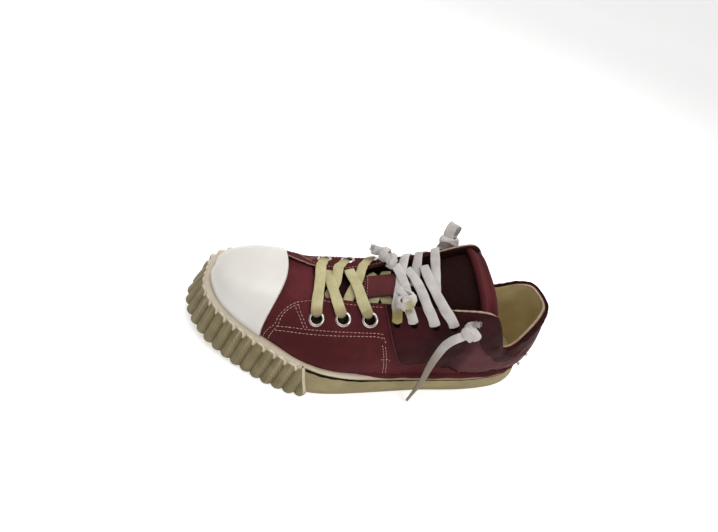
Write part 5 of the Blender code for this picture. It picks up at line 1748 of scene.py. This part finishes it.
def build_outer_end():
    """The loose end that hangs over the outer side and twists to a narrow tip, with its knot."""
    path, _, t = loose_path("lace_end_outer", 0.9)
    way = unit(np.gradient(path, axis=0))
    turn = (1.15 * ramp((t - 0.76) / 0.14) + 0.3 * np.sin(5.5 * t))[:, None]
    up = np.cos(turn) * FACE + np.sin(turn) * np.cross(way, FACE)
    width = table(t, ((0, 0.06, 0.14, 0.5, 0.68, 0.78, 0.88, 1.0), (4.6, 5.6, 5.9, 5.6, 5.2, 4.4, 2.8, 1.9)))
    thick = table(t, ((0, 0.15, 0.8, 1.0), (2.2, 1.3, 1.6, 2.0)))
    end, knot = Bunch(), Bunch()
    crumpled(end, path, up, width, thick, 0.25, 0.10, -0.85 * ramp((t - 0.10) / 0.4))
    piece = end.piece("loose_end_outer", "white lace", "white_lace", nodes=("lace_end_outer",))
    down = unit(FORE * 0.92 - RISE * 0.4)
    wrap(knot, (94.8, 40.0, 92.2), down, RISE - FORE * 0.12, 5.6, 3.0, 6.0, 0.5, 0.4)
    wrap(knot, (98.6, 42.0, 91.0), down, RISE * 0.9 + FORE * 0.3, 4.2, 2.6, 5.8, 0.9, 2.1)
    wrap(knot, (96.6, 41.2, 91.6), down + RISE * 0.5, RISE - FORE * 0.6, 3.6, 2.7, 4.8, 0.8, 4.0)
    tuft = unit(RISE - FORE * 0.2)
    fray(knot, np.array((94.4, 38.8, 96.6)), tuft, 60, 4.2, 0.22, 0.30, 3, FORE * 2.0)
    turns = knot.piece("loose_end_outer_knot", "white lace", "white_lace")
    declare_cord(path)


def build_inner_end():
    """The loose end that arches up and down over the inner side, with its knot."""
    path, _, t = loose_path("lace_end_inner", 0.9)
    width = table(t, ((0, 0.08, 0.2, 0.9, 1.0), (5.0, 7.0, 8.4, 8.4, 8.0)))
    end, knot = Bunch(), Bunch()
    fold = unit(-0.88 * FORE - 0.48 * RISE)
    crumpled(end, path, np.cross(fold, np.gradient(path, axis=0)), width, 1.0, 0.05, 0.16, -0.12 + 0 * t)
    piece = end.piece("loose_end_inner", "white lace", "white_lace", nodes=("lace_end_inner",))
    wrap(knot, (101.9, -41.0, 95.4), RISE - FORE * 0.25, FORE, 6.8, 3.0, 5.6, 1.0, 0.9)
    wrap(knot, (98.2, -41.8, 96.4), RISE + FORE * 0.5, FORE, 3.6, 2.8, 5.0, 1.4, 3.0)
    turns = knot.piece("loose_end_inner_knot", "white lace", "white_lace")
    declare_cord(path)


def build_front_knot():
    """The frayed knot on the inner side in front."""
    path, run, t = loose_path("lace_knot_front", 0.6)
    end, knot = Bunch(), Bunch()
    up = FACE + 0.4 * unit(path - path.mean(axis=0))
    crumpled(end, path, up, 7.0 + 0.8 * np.sin(run / 2.3), 2.6, 0.5, 0.25, -0.15 + 0 * t)
    away = unit(FORE * 0.87 + RISE * 0.5)
    wrap(knot, (149.6, -14.2, 88.4), away, RISE, 5.0, 2.9, 5.0, 0.9, 1.2, 0.08)
    wrap(knot, (154.4, -21.0, 86.6), away, RISE, 5.2, 3.2, 6.2, 1.4, 3.1)
    wrap(knot, (152.2, -17.6, 87.8), away + RISE * 0.5, RISE - FORE * 0.5, 4.2, 2.8, 4.4, 1.1, 5.0, -0.2)
    fray(knot, path[-1], unit(FORE + RISE * 0.15), 44, 4.0, 0.34, 0.26, 5, RISE * 3.2)
    fray(knot, path[-1] + RISE * 2.0, unit(FORE * 0.2 + RISE), 16, 3.4, 0.34, 0.24, 6, FORE * 2.0)
    piece = end.piece("knot_front", "white lace", "white_lace", nodes=("lace_knot_front",))
    turns = knot.piece("knot_front_turns", "white lace", "white_lace")
    declare_cord(path)


def build_outer_knot():
    """The stained knot on the outer side."""
    path, run, t = loose_path("lace_knot_outer", 0.6)
    end, knot = Bunch(), Bunch()
    up = unit(path - path.mean(axis=0) + FACE * 3.0)
    crumpled(end, path, up, 6.4 + 0.9 * np.sin(run / 2.3), 2.6, 0.5, 0.25, 0.7 * dome((t - 0.50) / 0.12))
    wrap(knot, (143.6, 18.4, 91.6), FORE * 0.8 - RISE * 0.5, RISE, 4.8, 2.8, 5.4, 1.2, 0.8)
    wrap(knot, (140.6, 21.6, 92.4), FORE * 0.4 + RISE, FORE, 4.4, 3.0, 5.4, 1.2, 2.6)
    wrap(knot, (142.6, 26.0, 91.0), FORE * 0.9 + RISE * 0.3, RISE, 4.6, 2.6, 5.0, 1.0, 4.4, 0.25)
    low, front = np.array((139.6, 29.0, 91.0)), np.array((144.4, 29.0, 89.6))
    fray(knot, low, unit(-RISE - FORE * 0.2), 34, 4.4, 0.26, 0.26, 9, FORE * 2.4, 0.75)
    fray(knot, front, unit(-RISE + FORE * 0.3), 24, 3.4, 0.26, 0.26, 11, FORE * 1.8, 0.85)
    piece = end.piece("knot_outer", "white lace", "white_lace", nodes=("lace_knot_outer",))
    turns = knot.piece("knot_outer_turns", "white lace", "white_lace")
    declare_cord(path)


# ---------------------------------------------------------------- camera, light and floor
def pose(place, right, up, back):
    """Matrix that puts an object at a place with its own axes along three directions."""
    turn = Matrix([(*row, 0) for row in np.stack([right, up, back], 1)] + [(0, 0, 0, 1)])
    return Matrix.Translation(place) @ turn


def add_camera():
    """The camera, looking down on the shoe from the outer side in front."""
    yaw, pitch, roll = CAMERA_YAW, CAMERA_PITCH, CAMERA_ROLL
    look = np.array((-np.sin(yaw) * np.cos(pitch), -np.cos(yaw) * np.cos(pitch), -np.sin(pitch)))
    level = np.array((-np.cos(yaw), np.sin(yaw), 0))
    high = np.cross(level, look)
    right = np.cos(roll) * level + np.sin(roll) * high
    up = -np.sin(roll) * level + np.cos(roll) * high
    data = bpy.data.cameras.new("camera")
    data.lens, data.sensor_width = CAMERA_LENS, SENSOR
    data.shift_x, data.shift_y = CAMERA_SHIFT
    data.clip_start, data.clip_end = 0.01, 20
    made = bpy.data.objects.new("camera", data)
    bpy.context.scene.collection.objects.link(made)
    made.matrix_world = pose(to_frame(CAMERA_PLACE), right, up, -look)
    bpy.context.scene.camera = made


def add_light(name, place, size, power, colour=(1, 1, 1), target=(0, 0, 0.04)):
    """Soft rectangular light that faces its target, both in metres."""
    data = bpy.data.lights.new(name, "AREA")
    data.shape = "RECTANGLE"
    data.size, data.size_y = size
    data.energy = power
    data.color = colour
    made = bpy.data.objects.new(name, data)
    bpy.context.scene.collection.objects.link(made)
    way = np.array(target, float) - np.array(place, float)
    z = -unit(way)
    x = unit(np.cross((0.0, 1.0, 0.01), z))
    made.matrix_world = pose(place, x, np.cross(z, x), z)


def build_floor():
    """Floor that curves up into a wall behind the shoe."""
    flat, bend_radius, wall_top = 3000, 1500, 4000
    edge = flat + bend_radius
    bend = np.linspace(0, np.pi / 2, 10)[1:]
    run = np.concatenate([np.linspace(-edge, flat, 16), flat + bend_radius * np.sin(bend), [edge]])
    rise = np.concatenate([np.zeros(16), bend_radius * (1 - np.cos(bend)), [wall_top]])
    xx, yy = np.meshgrid(np.linspace(-edge, edge, 25), -run, indexing="ij")
    grid = np.stack([xx, yy, np.broadcast_to(rise - 0.05, xx.shape)], -1)
    mesh = bpy.data.meshes.new("floor")
    mesh.from_pydata(to_frame(grid.reshape(-1, 3)).tolist(), [], grid_faces(*grid.shape[:2]).tolist())
    mesh.polygons.foreach_set("use_smooth", np.ones(len(mesh.polygons), bool))
    mesh.materials.append(FINISH["pale floor"])
    made = bpy.data.objects.new("floor", mesh)
    bpy.context.scene.collection.objects.link(made)


def build_light():
    """One light over the shoe, two fills, and a bright world."""
    add_light("overhead", (-0.15, -0.35, 1.3), (1.3, 1.0), 11)
    add_light("front_fill", (0.5, 0.9, 0.8), (1.2, 1.2), 1.5, (1.0, 0.98, 0.95))
    add_light("mouth_fill", (-0.45, 0.35, 0.6), (0.5, 0.5), 1.9, (1.0, 0.97, 0.90), (-0.105, -0.005, 0.05))
    world = bpy.data.worlds.new("studio")
    world.use_nodes = True
    back = world.node_tree.nodes["Background"]
    back.inputs[0].default_value = (1.0, 1.0, 1.0, 1)
    back.inputs[1].default_value = 0.42
    bpy.context.scene.world = world
    bpy.context.scene.view_settings.view_transform = "Standard"


def main():
    add_camera()
    build_outer_end()
    build_inner_end()
    build_front_knot()
    build_outer_knot()
    build_laces()
    build_sole_side()
    build_tread()
    span = ToeSpan()
    build_toe_wrap(span)
    build_toe_ledge(span)
    build_toe_wrap_ends()
    build_band()
    build_dark_line()
    build_foot_roll()
    build_cap()
    build_canvas()
    build_quarters()
    build_vamp_panel()
    build_hole_shadow_cups()
    build_lining()
    build_footbed()
    build_rear_leather()
    build_leather_lines()
    build_heel_threads()
    build_raw_edge()
    build_piping()
    build_collar()
    build_tongue()
    build_tongue_rim()
    build_keeper()
    build_eyelets()
    build_stitches()
    build_floor()
    build_light()
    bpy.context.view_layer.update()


main()
